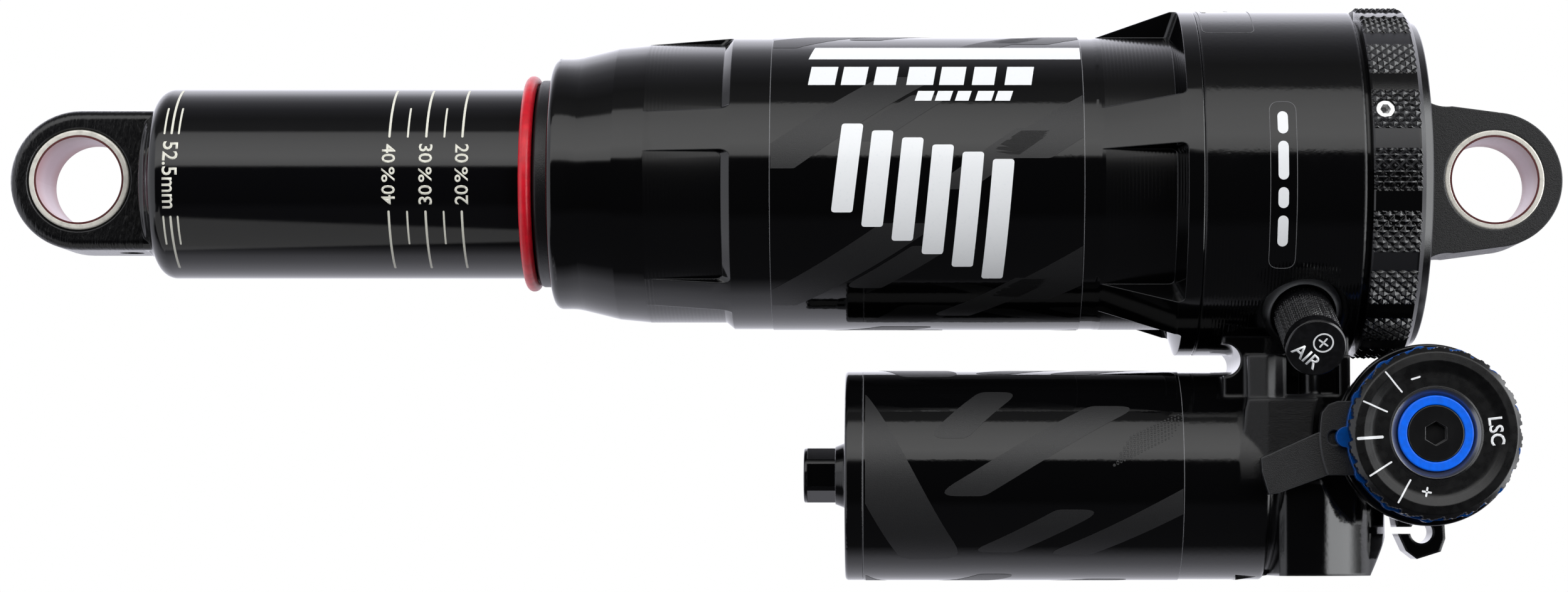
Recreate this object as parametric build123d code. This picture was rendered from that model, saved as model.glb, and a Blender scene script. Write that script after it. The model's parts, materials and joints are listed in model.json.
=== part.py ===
from build123d import *

import os
from math import cos, radians, sin

# An air rear shock with a piggyback reservoir, fully extended.
#
# The origin is the centre of the head eye. X runs along the shock, from the shaft eye to
# the head eye, Y runs along the eye bolts, and Z is up: the reservoir hangs below the can.
# A clock angle is turned about X, from the -Y side (0 degrees) down towards -Z (90 degrees).
# All lengths are in millimetres.

# ---------------------------------------------------------------- driving dimensions
EYE_TO_EYE = 210.0
STROKE = 52.5

EYE_WIDTH = 12.7
BOLT_R = 6.35
LINER_R = 6.65
BUSH_R = 7.45
SHAFT_EYE_R = 10.4
HEAD_EYE_R = 10.05

SHAFT_R = 14.2
SHAFT_BORE_R = 12.25
DAMPER_R = 11.75
DAMPER_BORE_R = 10.5
ROD_R = 4.5
ROD_BORE_R = 2.0

CAN_R = 21.8
CAN_BORE_R = 18.5
CAN_MOUTH_R = 18.8
CAN_NECK_BORE_R = SHAFT_R + 0.4
SEAL_GROOVE_R = 16.9
GUIDE_GROOVE_R = 15.4
LEFT_POCKET_R = 20.8
CAN_POCKETS = 5
POCKET_PITCH = 360.0 / CAN_POCKETS
POCKET_CLOCK = 20.0
POCKET_ARC = 55.0

HEAD_R = 25.75
COLLAR_R = 26.3
COLLAR_FACE_R = 24.1
COLLAR_LANDS = 18
LAND_CLOCK = 11.2
LAND_ARC = 7.0
SET_SCREW_CLOCK = -18.8

RESERVOIR_Z = -43.7
RESERVOIR_R = 15.45
RESERVOIR_BORE_R = 13.6
FILM = 0.12

DIAL_X = -11.65
DIAL_Z = -38.1
LSC_R = 12.43
HSC_R = 12.45
HSC_LOBES = 13
HSC_LOBE = 0.3
HSC_LOBE_CLOCK = 182.0
LSC_TEETH = 72
LEVER_SECTOR_R = 16.05
LEVER_HUB_R = 12.3
BASE_RING_R = 13.2
FLANGE_R = 13.0
BLUE_RING_R = 5.45
DIAL_SCREW_R = 4.0
SEAT_R = 16.8
SEAT_FLOOR_Y = -12.9
PANEL_Y = -15.5
PANEL_TOP_Z = -32.8

VALVE_FOOT = Vector(-29.6, -14.6, -20.5)
VALVE_AXIS = Vector(0.05, -0.885, -0.465).normalized()
VALVE_CAP_R = 4.37
VALVE_CAP_END = 12.1
VALVE_SEAT_S = -1.1

RUN = 0.06      # radial clearance of a running fit

# ---------------------------------------------------------------- stations along the shock
SHAFT_EYE_X = -EYE_TO_EYE
SHAFT_NECK_X = SHAFT_EYE_X + 9.7
SHAFT_END_X = SHAFT_EYE_X + 11.2
SHAFT_ROD_X = SHAFT_EYE_X + 11.0
SHAFT_FLOOR_X = SHAFT_EYE_X + 14.0
SHAFT_MOUTH_X = -108.0

CAN_LEFT_X = -139.7
CAN_NECK_X = -128.0
CAN_RIGHT_X = -44.6
HEAD_RIGHT_X = -20.6
COLLAR_RIGHT_X = -11.8

DAMPER_LEFT_X = -140.0
DAMPER_RIGHT_X = -40.0
SEAL_HEAD_RIGHT_X = -131.0
PISTON_X = -126.0
PISTON_LENGTH = 8.0
AIR_PISTON_X = -112.0
AIR_PISTON_LENGTH = 8.0

RESERVOIR_LEFT_X = -93.7
CAP_RIM_X = -96.3
IFP_X = -62.0


# ---------------------------------------------------------------- helpers
def lathe(*outline, z=0.0, arc=360.0):
    """A turned solid about a line along X. An outline point is (x, r) or (x, r, corner radius)."""
    face = make_face(Polyline(*[(p[0], p[1]) for p in outline], close=True)).face()
    for p in outline:
        if len(p) == 3:
            corner = face.vertices().sort_by_distance((p[0], p[1], 0))[0]
            face = face.fillet_2d(p[2], [corner])
    return Pos(0, 0, z) * revolve(face, Axis.X, arc)


def ring(x0, x1, r_in, r_out, z=0.0, corner=0.0):
    """A plain ring or, with r_in of 0, a disc about a line along X."""
    if corner:
        points = [(x, r, corner) for x, r in ((x0, r_in), (x1, r_in), (x1, r_out), (x0, r_out))]
    else:
        points = [(x0, r_in), (x1, r_in), (x1, r_out), (x0, r_out)]
    return lathe(*points, z=z)


def oring(x, r_in, section, z=0.0):
    """A round-section ring about a line along X."""
    return Pos(x, 0, z) * Rot(0, 90, 0) * Torus(r_in + section / 2, section / 2)


def at_clock(shape, clock, arc=0.0):
    """Turn a shape made on the +Y side about X, so that its middle stands at a clock angle."""
    return Rot(180.0 + clock - arc / 2, 0, 0) * shape


def on_dial(shape):
    """Move a shape turned about X onto the dial axis, with its own x along +Y."""
    return Pos(DIAL_X, 0, DIAL_Z) * Rot(0, 0, 90) * shape


def dial_point(radius, angle):
    """A point (x, z) at a radius and angle about the dial axis, angles from +X towards +Z."""
    return (DIAL_X + radius * cos(radians(angle)), DIAL_Z + radius * sin(radians(angle)))


def slab(points, y0, y1):
    """A plate with an outline in XZ, between two places along Y."""
    face = Plane.XZ * make_face(Polyline(*points, close=True))
    return Pos(0, y1, 0) * extrude(face, amount=y1 - y0)


def block(x0, x1, y0, y1, z0, z1):
    return Pos((x0 + x1) / 2, (y0 + y1) / 2, (z0 + z1) / 2) * Box(x1 - x0, y1 - y0, z1 - z0)


def cross_bore(x, z, radius, y0, y1):
    """A round bar along Y."""
    return Pos(x, (y0 + y1) / 2, z) * Rot(90, 0, 0) * Cylinder(radius, y1 - y0)


def on_valve(radius, s0, s1):
    """A round bar on the valve axis, between two distances from the valve's foot."""
    foot = Plane(origin=VALVE_FOOT, z_dir=VALVE_AXIS)
    return foot * Pos(0, 0, (s0 + s1) / 2) * Cylinder(radius, s1 - s0)


def valve_rim():
    """The raised conical rim round the valve, standing on a spot face in the head."""
    height = 0.3 - VALVE_SEAT_S
    foot = Plane(origin=VALVE_FOOT, z_dir=VALVE_AXIS)
    return foot * Pos(0, 0, VALVE_SEAT_S + height / 2) * Cone(5.9, 4.95, height)


def hex_bar(across_flats, x0, x1, z=0.0, turn=0.0):
    """A hexagonal bar along X."""
    face = RegularPolygon(across_flats / 2, 6, major_radius=False)
    bar = extrude(face, amount=x1 - x0)
    return Pos(x0, 0, z) * Rot(turn, 0, 0) * Rot(0, 90, 0) * bar


# ---------------------------------------------------------------- eyes
def eye_bushing(x):
    half = EYE_WIDTH / 2
    bush = lathe((-half, LINER_R), (half, LINER_R), (half, BUSH_R, 0.25), (-half, BUSH_R, 0.25))
    return Pos(x, 0, 0) * Rot(0, 0, 90) * bush


def eye_liner(x):
    return Pos(x, 0, 0) * Rot(0, 0, 90) * ring(-EYE_WIDTH / 2, EYE_WIDTH / 2, BOLT_R, LINER_R)


# ---------------------------------------------------------------- shaft side
ADJUSTER_MOUTH_X = SHAFT_EYE_X + 6.9
ADJUSTER_MOUTH_Z = -10.1
ADJUSTER_R = 1.6
ADJUSTER_LENGTH = 9.6
ADJUSTER_PLANE = Plane(
    origin=(ADJUSTER_MOUTH_X, 0, ADJUSTER_MOUTH_Z), z_dir=(cos(radians(60)), 0, sin(radians(60))))


def on_adjuster(radius, s0, s1):
    """A round bar on the rebound adjuster's axis, which slants into the neck from below."""
    return ADJUSTER_PLANE * Pos(0, 0, (s0 + s1) / 2) * Cylinder(radius, s1 - s0)


def air_shaft():
    """The visible tube, closed at its left end by the lug that holds the shaft eye."""
    half = EYE_WIDTH / 2
    lug = cross_bore(SHAFT_EYE_X, 0, SHAFT_EYE_R, -half, half)
    lug += block(SHAFT_EYE_X, SHAFT_END_X + 1, -half, half, -SHAFT_EYE_R, SHAFT_EYE_R)
    rim = [e for e in lug.edges() if abs(abs(e.center().Y) - half) < 0.01]
    rim = [e for e in rim if e.center().X < SHAFT_END_X]
    lug = fillet(rim, 1.4)
    tube = lathe(
        (SHAFT_NECK_X, 0), (SHAFT_NECK_X, 10.8, 0.6), (SHAFT_END_X - 0.6, 11.2, 1.2),
        (SHAFT_END_X + 0.8, SHAFT_R, 2.4), (SHAFT_MOUTH_X, SHAFT_R), (SHAFT_MOUTH_X, SHAFT_BORE_R),
        (SHAFT_FLOOR_X, SHAFT_BORE_R, 1.0), (SHAFT_FLOOR_X, 0),
    )
    body = lug + tube
    body -= cross_bore(SHAFT_EYE_X, 0, BUSH_R, -half, half)
    body -= lathe((-half - 1, 0), (-half - 1, BUSH_R + 1), (-half + 0.5, BUSH_R), (-half + 0.5, 0)).moved(
        Location((SHAFT_EYE_X, 0, 0), (0, 0, 90)))
    body -= lathe((half + 1, 0), (half + 1, BUSH_R + 1), (half - 0.5, BUSH_R), (half - 0.5, 0)).moved(
        Location((SHAFT_EYE_X, 0, 0), (0, 0, 90)))
    body -= on_adjuster(ADJUSTER_R, -2, ADJUSTER_LENGTH + 1)
    return body - ring(SHAFT_ROD_X, SHAFT_FLOOR_X, 0, ROD_R)


def rebound_adjuster():
    """A slanting hexagon-socket screw that pushes on the rebound rod."""
    body = on_adjuster(ADJUSTER_R - RUN, 1.2, ADJUSTER_LENGTH - 1.2)
    body += ADJUSTER_PLANE * Pos(0, 0, ADJUSTER_LENGTH - 0.6) * Cone(ADJUSTER_R - RUN, 0.6, 1.2)
    socket = extrude(RegularPolygon(1.0, 6, major_radius=False), amount=2.5)
    return body - ADJUSTER_PLANE * socket


def damper_rod():
    nut_end = PISTON_X + PISTON_LENGTH + 5.4
    rod = lathe(
        (SHAFT_ROD_X, ROD_BORE_R), (SHAFT_ROD_X, ROD_R), (PISTON_X - 2.4, ROD_R), (PISTON_X - 2.4, 3.0),
        (nut_end, 3.0, 0.4), (nut_end, ROD_BORE_R),
    )
    return rod - on_adjuster(ADJUSTER_R, -2, ADJUSTER_LENGTH + 1)


def rebound_rod():
    """The rod inside the damper rod, with a tapered left end and a needle at its right end."""
    left = SHAFT_EYE_X + 12.0
    right = PISTON_X + PISTON_LENGTH + 4.4
    r = ROD_BORE_R - RUN
    return lathe((left, 0), (left, 0.8), (left + 1.1, r), (right - 4, r), (right, 0.5), (right, 0))


def main_piston():
    right = PISTON_X + PISTON_LENGTH
    r = DAMPER_BORE_R - RUN
    mid = PISTON_X + PISTON_LENGTH / 2
    piston = lathe(
        (PISTON_X, 3.0), (PISTON_X, r, 0.4), (mid - 1.7, r), (mid - 1.7, r - 1.0), (mid + 1.7, r - 1.0),
        (mid + 1.7, r), (right, r, 0.4), (right, 3.0),
    )
    port = Pos(PISTON_X + PISTON_LENGTH / 2, 6.2, 0) * Rot(0, 90, 0) * Cylinder(1.1, PISTON_LENGTH + 1)
    for i in range(8):
        piston -= Rot(45.0 * i, 0, 0) * port
    return piston


def piston_band():
    mid = PISTON_X + PISTON_LENGTH / 2
    return ring(mid - 1.7, mid + 1.7, DAMPER_BORE_R - RUN - 1.0, DAMPER_BORE_R - 0.03)


def shim_stack(x, direction, radii, thickness):
    """Thin discs of falling size on the rod's spigot, starting against the piston's face."""
    stack = []
    for i, radius in enumerate(radii):
        near = x + direction * thickness * i
        far = near + direction * thickness
        stack.append(ring(min(near, far), max(near, far), 3.0, radius))
    return Compound(stack)


def piston_nut():
    left = PISTON_X + PISTON_LENGTH + 1.4
    nut = hex_bar(10.0, left, left + 4.0)
    return nut - ring(left - 1, left + 5, 0, 3.0)


def bottomout_bumper():
    return ring(SHAFT_FLOOR_X, SHAFT_FLOOR_X + 3.0, ROD_R, 10.2, corner=0.6)


def air_piston():
    right = AIR_PISTON_X + AIR_PISTON_LENGTH
    rim = CAN_BORE_R - 0.1
    return lathe(
        (AIR_PISTON_X - 4, SHAFT_R), (AIR_PISTON_X - 4, 16.0, 0.5), (AIR_PISTON_X, 16.0),
        (AIR_PISTON_X, rim, 0.4),
        (AIR_PISTON_X + 0.8, rim), (AIR_PISTON_X + 0.8, 17.4), (AIR_PISTON_X + 2.2, 17.4),
        (AIR_PISTON_X + 2.2, rim),
        (AIR_PISTON_X + 3.4, rim), (AIR_PISTON_X + 3.4, 16.7), (AIR_PISTON_X + 5.4, 16.7),
        (AIR_PISTON_X + 5.4, rim),
        (right, rim, 0.4), (right, DAMPER_R + 0.08),
        (right - 1.2, DAMPER_R + 0.08), (right - 1.2, 13.5), (right - 3.2, 13.5),
        (right - 3.2, DAMPER_R + 0.08),
        (SHAFT_MOUTH_X, DAMPER_R + 0.08), (SHAFT_MOUTH_X, SHAFT_R),
    )


def air_piston_glide_ring():
    return ring(AIR_PISTON_X + 0.8, AIR_PISTON_X + 2.2, 17.4, CAN_BORE_R - 0.04)


def air_piston_seal():
    return oring(AIR_PISTON_X + 4.4, 16.72, 2 * 0.87)


def air_piston_inner_seal():
    return oring(AIR_PISTON_X + AIR_PISTON_LENGTH - 2.2, DAMPER_R + 0.05, 2 * 0.84)


def sag_ring():
    """The travel marker, a loose rubber ring on the tube beside the can's wiper."""
    return oring(CAN_LEFT_X - 3.3, SHAFT_R + 0.05, 1.9)


# ---------------------------------------------------------------- damper, fixed to the head
def damper_tube():
    return ring(DAMPER_LEFT_X, DAMPER_RIGHT_X, DAMPER_BORE_R, DAMPER_R, corner=0.3)


def damper_seal_head():
    """The plug in the damper tube's mouth that the rod runs through."""
    bore = ROD_R + RUN
    return lathe(
        (DAMPER_LEFT_X, bore, 0.4), (DAMPER_LEFT_X, DAMPER_BORE_R), (SEAL_HEAD_RIGHT_X, DAMPER_BORE_R),
        (SEAL_HEAD_RIGHT_X, bore), (SEAL_HEAD_RIGHT_X - 1.0, bore), (SEAL_HEAD_RIGHT_X - 1.0, 5.4),
        (SEAL_HEAD_RIGHT_X - 4.0, 5.4), (SEAL_HEAD_RIGHT_X - 4.0, bore), (SEAL_HEAD_RIGHT_X - 5.0, bore),
        (SEAL_HEAD_RIGHT_X - 5.0, 6.6), (SEAL_HEAD_RIGHT_X - 7.4, 6.6), (SEAL_HEAD_RIGHT_X - 7.4, bore),
    )


def rod_bushing():
    return ring(SEAL_HEAD_RIGHT_X - 4.0, SEAL_HEAD_RIGHT_X - 1.0, ROD_R + 0.03, 5.4)


def rod_seal():
    return ring(SEAL_HEAD_RIGHT_X - 7.35, SEAL_HEAD_RIGHT_X - 5.05, ROD_R + 0.02, 6.58, corner=0.5)


def topout_bumper():
    return ring(SEAL_HEAD_RIGHT_X, SEAL_HEAD_RIGHT_X + 2.2, ROD_R + 0.3, 8.6, corner=0.5)


# ---------------------------------------------------------------- air can
def can_pocket(x0, x1, floor_r, wall_top_r, slope):
    """A tool for one pocket round the can. Its right wall leans outwards, with rounded corners."""
    reach = 30.0
    x_reach = x1 + slope * (reach - wall_top_r) / (wall_top_r - floor_r)
    arc = lathe((x0, floor_r), (x1 - slope, floor_r), (x_reach, reach), (x0, reach), arc=POCKET_ARC)
    walls = [e for e in arc.edges().filter_by(GeomType.LINE) if 0.01 < abs(e.tangent_at(0).X) < 0.99]
    return fillet(walls, 0.9)


def air_can():
    """The can: a barrel with a ring of five pockets turned into each end."""
    barrel_left = -112.9
    cone_left = -59.3
    flange_left = -48.0
    bore = CAN_NECK_BORE_R
    can = lathe(
        (CAN_LEFT_X, 16.0), (CAN_LEFT_X, CAN_MOUTH_R, 1.2), (-136.3, CAN_MOUTH_R, 8), (-130.0, 20.35),
        (-125.5, LEFT_POCKET_R), (barrel_left, CAN_R), (cone_left, CAN_R, 3),
        (flange_left, HEAD_R, 0.6), (CAN_RIGHT_X, HEAD_R, 0.25), (CAN_RIGHT_X, CAN_BORE_R),
        (CAN_NECK_X, CAN_BORE_R), (CAN_NECK_X, bore),
        (-128.8, bore), (-128.8, GUIDE_GROOVE_R), (-131.8, GUIDE_GROOVE_R), (-131.8, bore),
        (-132.6, bore), (-132.6, SEAL_GROOVE_R), (-135.4, SEAL_GROOVE_R), (-135.4, bore),
        (-136.9, bore), (-136.9, 16.0),
    )
    left = can_pocket(-127.0, barrel_left, LEFT_POCKET_R, CAN_R, 1.2)
    right = can_pocket(-60.5, -47.0, CAN_R + 0.08, HEAD_R, 1.3)
    for i in range(CAN_POCKETS):
        clock = POCKET_CLOCK + POCKET_PITCH * i
        can -= at_clock(left, clock, POCKET_ARC)
        can -= at_clock(right, clock, POCKET_ARC)
    return can


def can_decal():
    return ring(-107.1, -61.6, CAN_R, CAN_R + FILM)


def wiper_seal():
    """The scraper lip at the can's mouth, part of it standing out of the can."""
    lip = SHAFT_R + 0.05
    return lathe(
        (CAN_LEFT_X + 2.8, lip + 0.45), (CAN_LEFT_X + 2.8, 16.0), (CAN_LEFT_X, 16.0), (CAN_LEFT_X, 15.5),
        (CAN_LEFT_X - 2.25, 15.5, 0.7), (CAN_LEFT_X - 2.25, lip), (CAN_LEFT_X - 1.2, lip),
        (CAN_LEFT_X - 0.4, lip + 0.45),
    )


def can_air_seal():
    return ring(-135.35, -132.65, SHAFT_R + 0.04, SEAL_GROOVE_R - 0.02, corner=0.6)


def can_bushing():
    return ring(-131.8, -128.8, SHAFT_R + 0.05, GUIDE_GROOVE_R)


def can_oring():
    return oring(-48.3, 16.72, 2 * 0.86)


# ---------------------------------------------------------------- head
def head_barrel():
    """The head's own turned body, with the spigots that carry the can and the collar."""
    return lathe(
        (-51.0, DAMPER_R), (-51.0, 18.44, 0.4), (-49.4, 18.44), (-49.4, 16.7), (-47.2, 16.7), (-47.2, 18.44),
        (CAN_RIGHT_X, 18.44), (CAN_RIGHT_X, HEAD_R, 0.25), (-21.5, HEAD_R, 0.25), (-21.5, 24.4),
        (HEAD_RIGHT_X, 24.4), (HEAD_RIGHT_X, 19.0), (-16.0, 19.0, 0.4), (-16.0, 0),
        (-34.0, 0), (-34.0, 8.0), (DAMPER_RIGHT_X, 8.0), (DAMPER_RIGHT_X, DAMPER_R),
    )


def upright(plan, z0, z1):
    """A solid with an outline in XY, between two heights."""
    return Pos(0, 0, z0) * extrude(make_face(plan), amount=z1 - z0)


def neck():
    """The web between the head and the reservoir, hollowed out on its left side."""
    edge = Polyline((-40.8, -24.6), (-40.8, -18.0), (-22.5, -18.0), (-22.5, -44.0), (-40.8, -44.0), (-40.8, -29.3))
    edge += ThreePointArc((-40.8, -29.3), (-38.3, -26.95), (-40.8, -24.6))
    return Pos(0, 10.5, 0) * extrude(Plane.XZ * make_face(edge), amount=21.0)


def neck_front():
    """The shelf in front of the web, below the valve: a rounded left strip and a lower front."""
    plan = Polyline(
        (-37.65, 8.0), (-37.65, -14.2), (-34.9, -15.15), (-33.7, -14.6), (-32.3, -13.0), (-22.6, -13.0),
        (-22.6, 8.0), close=True)
    return upright(plan, PANEL_TOP_Z - 1.0, -26.4)


def panel():
    """The flat panel behind the lever's arm, with a slanting strip down its left side."""
    front = slab(
        [(-37.65, PANEL_TOP_Z), (-38.05, -34.4), (-38.4, -38.1), (-38.9, -40.6), (-38.7, -42.3), (-35.2, -45.0),
         (-16.0, -45.0), (-16.0, -31.0), (-21.0, PANEL_TOP_Z)],
        -20, 10,
    )
    plan = Polyline(
        (-39.2, 8.0), (-39.2, -14.1), (-34.7, PANEL_Y), (-26.0, PANEL_Y), (-17.0, -13.2), (-17.0, 8.0), close=True)
    return front & upright(plan, -60.0, -30.0)


def reservoir_block():
    """The heavy end of the reservoir: a tapering block whose front turns into its right side."""
    front = slab(
        [(-35.2, -44.0), (-33.2, -46.5), (-34.1, -58.5), (-19.6, -58.5), (-16.1, -52.05), (-14.0, -44.0)], -20, 20)
    front += slab([(-38.6, -59.2), (-38.6, -57.0), (-33.9, -57.0), (-33.9, -58.5)], -3.5, 3.5)
    plan = Polyline((-38.7, 12.5), (-38.7, -4.0), (-34.1, -4.0), (-33.3, -14.4), (-32.4, PANEL_Y), (-30.3, PANEL_Y))
    plan += ThreePointArc((-30.3, PANEL_Y), (-20.4, -11.4), (-16.3, -1.5))
    plan += Polyline((-16.3, -1.5), (-16.3, 9.0), (-20.0, 12.5), (-38.7, 12.5))
    return front & upright(plan, -60.0, -40.0)


HOOK_OUTLINE = ((-4.6, -9.0), (-3.65, -14.3), (-2.5, -16.8), (-0.9, -18.0), (2.6, -16.9), (3.3, -15.0),
                (3.0, -9.0))


def cable_hook():
    """A lug below the dials with a round seat and a side slot for a cable end."""
    lug = slab([(DIAL_X + x, DIAL_Z + z) for x, z in HOOK_OUTLINE], -9.0, -3.0)
    lug -= cross_bore(DIAL_X - 0.2, DIAL_Z - 14.05, 1.65, -10, -2)
    return lug - block(DIAL_X - 6, DIAL_X - 0.2, -10, -2, DIAL_Z - 14.3, DIAL_Z - 13.3)


def head_body():
    """The head, neck, reservoir body and adjuster barrel, which are one forging."""
    body = head_barrel() + neck() + neck_front()
    body += lathe(
        (RESERVOIR_LEFT_X, 0), (RESERVOIR_LEFT_X, RESERVOIR_R), (-34.5, RESERVOIR_R, 0.5), (-34.5, 14.7),
        (-22.0, 14.7, 1.5), (-22.0, 0), z=RESERVOIR_Z,
    )
    body += panel()
    body += reservoir_block()
    body -= cross_bore(DIAL_X, DIAL_Z, SEAT_R, -20.0, SEAT_FLOOR_Y)
    body += cross_bore(DIAL_X, DIAL_Z, 11.3, -13.0, 13.0)
    body += cross_bore(DIAL_X, DIAL_Z, FLANGE_R, -14.4, -11.6)
    body += cable_hook()
    body += on_valve(5.9, -12, VALVE_SEAT_S)
    body -= on_valve(6.8, VALVE_SEAT_S, 8)
    body += valve_rim()
    body -= on_valve(4.8, -2.2, 1.0)
    # the recess below the valve, with its post
    body -= block(-31.9, -24.2, -14.0, -9.0, -32.1, -26.3)
    body += Pos(-28.1, -11.3, -29.6) * Cylinder(1.42, 6.6)
    # the bore of the compression cartridge
    body -= cross_bore(DIAL_X, DIAL_Z, 7.4, -15.0, 9.0)
    # the bores of the damper, the reservoir and the oil ways between them
    body -= ring(-52.0, DAMPER_RIGHT_X, 0, DAMPER_R)
    body -= ring(RESERVOIR_LEFT_X - 1, -27.0, 0, RESERVOIR_BORE_R, z=RESERVOIR_Z)
    body -= ring(-28.0, -24.5, 0, 11.0, z=RESERVOIR_Z)
    body -= ring(-25.0, -18.0, 0, 2.5, z=RESERVOIR_Z - 1.5)
    body -= on_valve(3.7, -9.0, 0)
    body -= on_valve(1.5, -16.0, -8.0)
    return body


def reservoir_cap():
    cap = lathe(
        (-88.0, 9.0), (-88.0, 13.55, 0.5), (-89.4, 13.55), (-89.4, 11.9), (-91.4, 11.9), (-91.4, 13.55),
        (RESERVOIR_LEFT_X, 13.55), (RESERVOIR_LEFT_X, 15.55), (CAP_RIM_X, 15.55, 0.5), (CAP_RIM_X, 4.9, 0.6),
        (-97.8, 4.3), (-97.8, 4.05), (-102.5, 4.05, 0.3), (-102.5, 0), (-91.6, 0), (-91.6, 9.0),
        z=RESERVOIR_Z,
    )
    flats = ring(-102.0, -97.8, 0, 6, z=RESERVOIR_Z) - hex_bar(7.33, -103, -97, z=RESERVOIR_Z)
    cap -= flats
    cap -= ring(-103.0, -98.5, 0, 2.5, z=RESERVOIR_Z)
    return cap - ring(-99.0, -91.0, 0, 1.0, z=RESERVOIR_Z)


def reservoir_cap_oring():
    return oring(-90.4, 11.92, 2 * 0.83, z=RESERVOIR_Z)


def charge_screw():
    """The screw in the cap's boss that closes the gas filling hole."""
    screw = ring(-102.3, -98.7, 0, 2.48, z=RESERVOIR_Z)
    return screw - hex_bar(2.5, -103.0, -100.6, z=RESERVOIR_Z)


def ifp_piston():
    """The floating piston between the oil and the gas."""
    r = RESERVOIR_BORE_R - RUN
    return lathe(
        (IFP_X, 0), (IFP_X, r, 0.5), (IFP_X + 3.0, r), (IFP_X + 3.0, r - 1.7), (IFP_X + 5.0, r - 1.7),
        (IFP_X + 5.0, r), (IFP_X + 8.0, r, 0.5), (IFP_X + 8.0, 9.5), (IFP_X + 3.0, 9.5), (IFP_X + 3.0, 0),
        z=RESERVOIR_Z,
    )


def ifp_seal():
    return oring(IFP_X + 4.0, RESERVOIR_BORE_R - RUN - 1.68, 2 * 0.85, z=RESERVOIR_Z)


def reservoir_decal():
    return ring(RESERVOIR_LEFT_X + 0.05, -47.0, RESERVOIR_R, RESERVOIR_R + FILM, z=RESERVOIR_Z)


# ---------------------------------------------------------------- head eyelet and collar
def head_eyelet():
    """The eye plate, with a round foot that the collar clamps against the head."""
    half = EYE_WIDTH / 2
    root = 10.95
    plate = cross_bore(0, 0, HEAD_EYE_R, -half, half)
    outline = Line((0.6, HEAD_EYE_R), (-6.2, root))
    outline += ThreePointArc((-6.2, root), (-9.9, 11.75), (-12.0, 14.2))
    outline += Line((-12.0, 14.2), (-12.0, -14.2))
    outline += ThreePointArc((-12.0, -14.2), (-9.9, -11.75), (-6.2, -root))
    outline += Line((-6.2, -root), (0.6, -HEAD_EYE_R)) + Line((0.6, -HEAD_EYE_R), (0.6, HEAD_EYE_R))
    web = Pos(0, half, 0) * extrude(Plane.XZ * make_face(outline), amount=EYE_WIDTH)
    plate += web
    plate &= ring(-14.0, 12.0, 0, 14.45)
    plate += ring(-15.8, -13.6, 0, 18.4)
    plate += ring(-13.7, -11.9, 0, 14.4)
    return plate - cross_bore(0, 0, BUSH_R, -half - 1, half + 1)


def locking_collar():
    collar = lathe(
        (HEAD_RIGHT_X, 19.02), (HEAD_RIGHT_X, COLLAR_R, 0.3), (-14.0, COLLAR_R, 0.3),
        (COLLAR_RIGHT_X, COLLAR_FACE_R),
        (COLLAR_RIGHT_X, 14.6), (-13.5, 14.6), (-13.5, 19.02),
    )
    land = lathe(
        (HEAD_RIGHT_X - 1, COLLAR_R - 0.35), (-11.0, COLLAR_R - 0.35), (-11.0, 28), (HEAD_RIGHT_X - 1, 28),
        arc=LAND_ARC,
    )
    for i in range(COLLAR_LANDS):
        collar -= at_clock(land, LAND_CLOCK + 360.0 / COLLAR_LANDS * i, LAND_ARC)
    return collar - set_screw_bar(1.35, 18.0, 28.0)


def set_screw_bar(radius, r0, r1):
    """A round bar standing radially on the collar at the set screw's place."""
    bar = Pos(-18.7, (r0 + r1) / 2, 0) * Rot(90, 0, 0) * Cylinder(radius, r1 - r0)
    return at_clock(bar, SET_SCREW_CLOCK)


def collar_set_screw():
    screw = set_screw_bar(1.33, 19.1, COLLAR_R - 0.5)
    socket = extrude(RegularPolygon(0.65, 6, major_radius=False), amount=2.0)
    socket = Pos(-18.7, COLLAR_R, 0) * Rot(90, 0, 0) * socket
    return screw - at_clock(socket, SET_SCREW_CLOCK)


# ---------------------------------------------------------------- air valve
def valve_stem():
    stem = on_valve(3.68, -8.9, -3.4) + on_valve(3.7, -3.4, 10.0)
    return stem - on_valve(2.55, -6.0, 11.0) - on_valve(1.4, -10.0, -5.0)


def valve_core():
    core = on_valve(2.5, -3.0, 8.6) - on_valve(1.3, 6.5, 9.0)
    return core + on_valve(0.6, 6.0, 9.4)


def valve_oring():
    """The sealing ring round the stem's foot, at the bottom of its recess."""
    foot = Plane(origin=VALVE_FOOT, z_dir=VALVE_AXIS)
    return foot * Pos(0, 0, -1.65) * Torus(4.22, 0.5)


def valve_cap():
    cap = on_valve(VALVE_CAP_R, -0.9, VALVE_CAP_END)
    top = cap.edges().sort_by_distance(VALVE_FOOT + VALVE_AXIS * 30)[0]
    cap = fillet(top, 0.45)
    return cap - on_valve(3.78, -2.0, 10.9)


# ---------------------------------------------------------------- compression adjusters
def compression_cartridge():
    """The valve cartridge in the barrel, with the spindle that the lever and dials turn on."""
    body = lathe(
        (-15.7, 0), (-15.7, 5.6), (-14.4, 5.6), (-14.4, 7.4), (-8.0, 7.4), (-8.0, 6.0), (-3.0, 6.0),
        (-3.0, 7.4), (0.0, 7.4), (0.0, 6.0), (5.0, 6.0), (5.0, 7.4), (9.0, 7.4), (9.0, 0),
    )
    spindle = ring(-19.8, -15.6, 0, 5.0)
    hole = ring(-20.0, -11.0, 0, 2.06)
    return on_dial(body + spindle - hole)


def adjuster_base_ring():
    return on_dial(lathe(
        (-14.4, 5.7), (-15.7, 5.7), (-15.7, BASE_RING_R, 0.35), (-14.4, BASE_RING_R),
    ))


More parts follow.
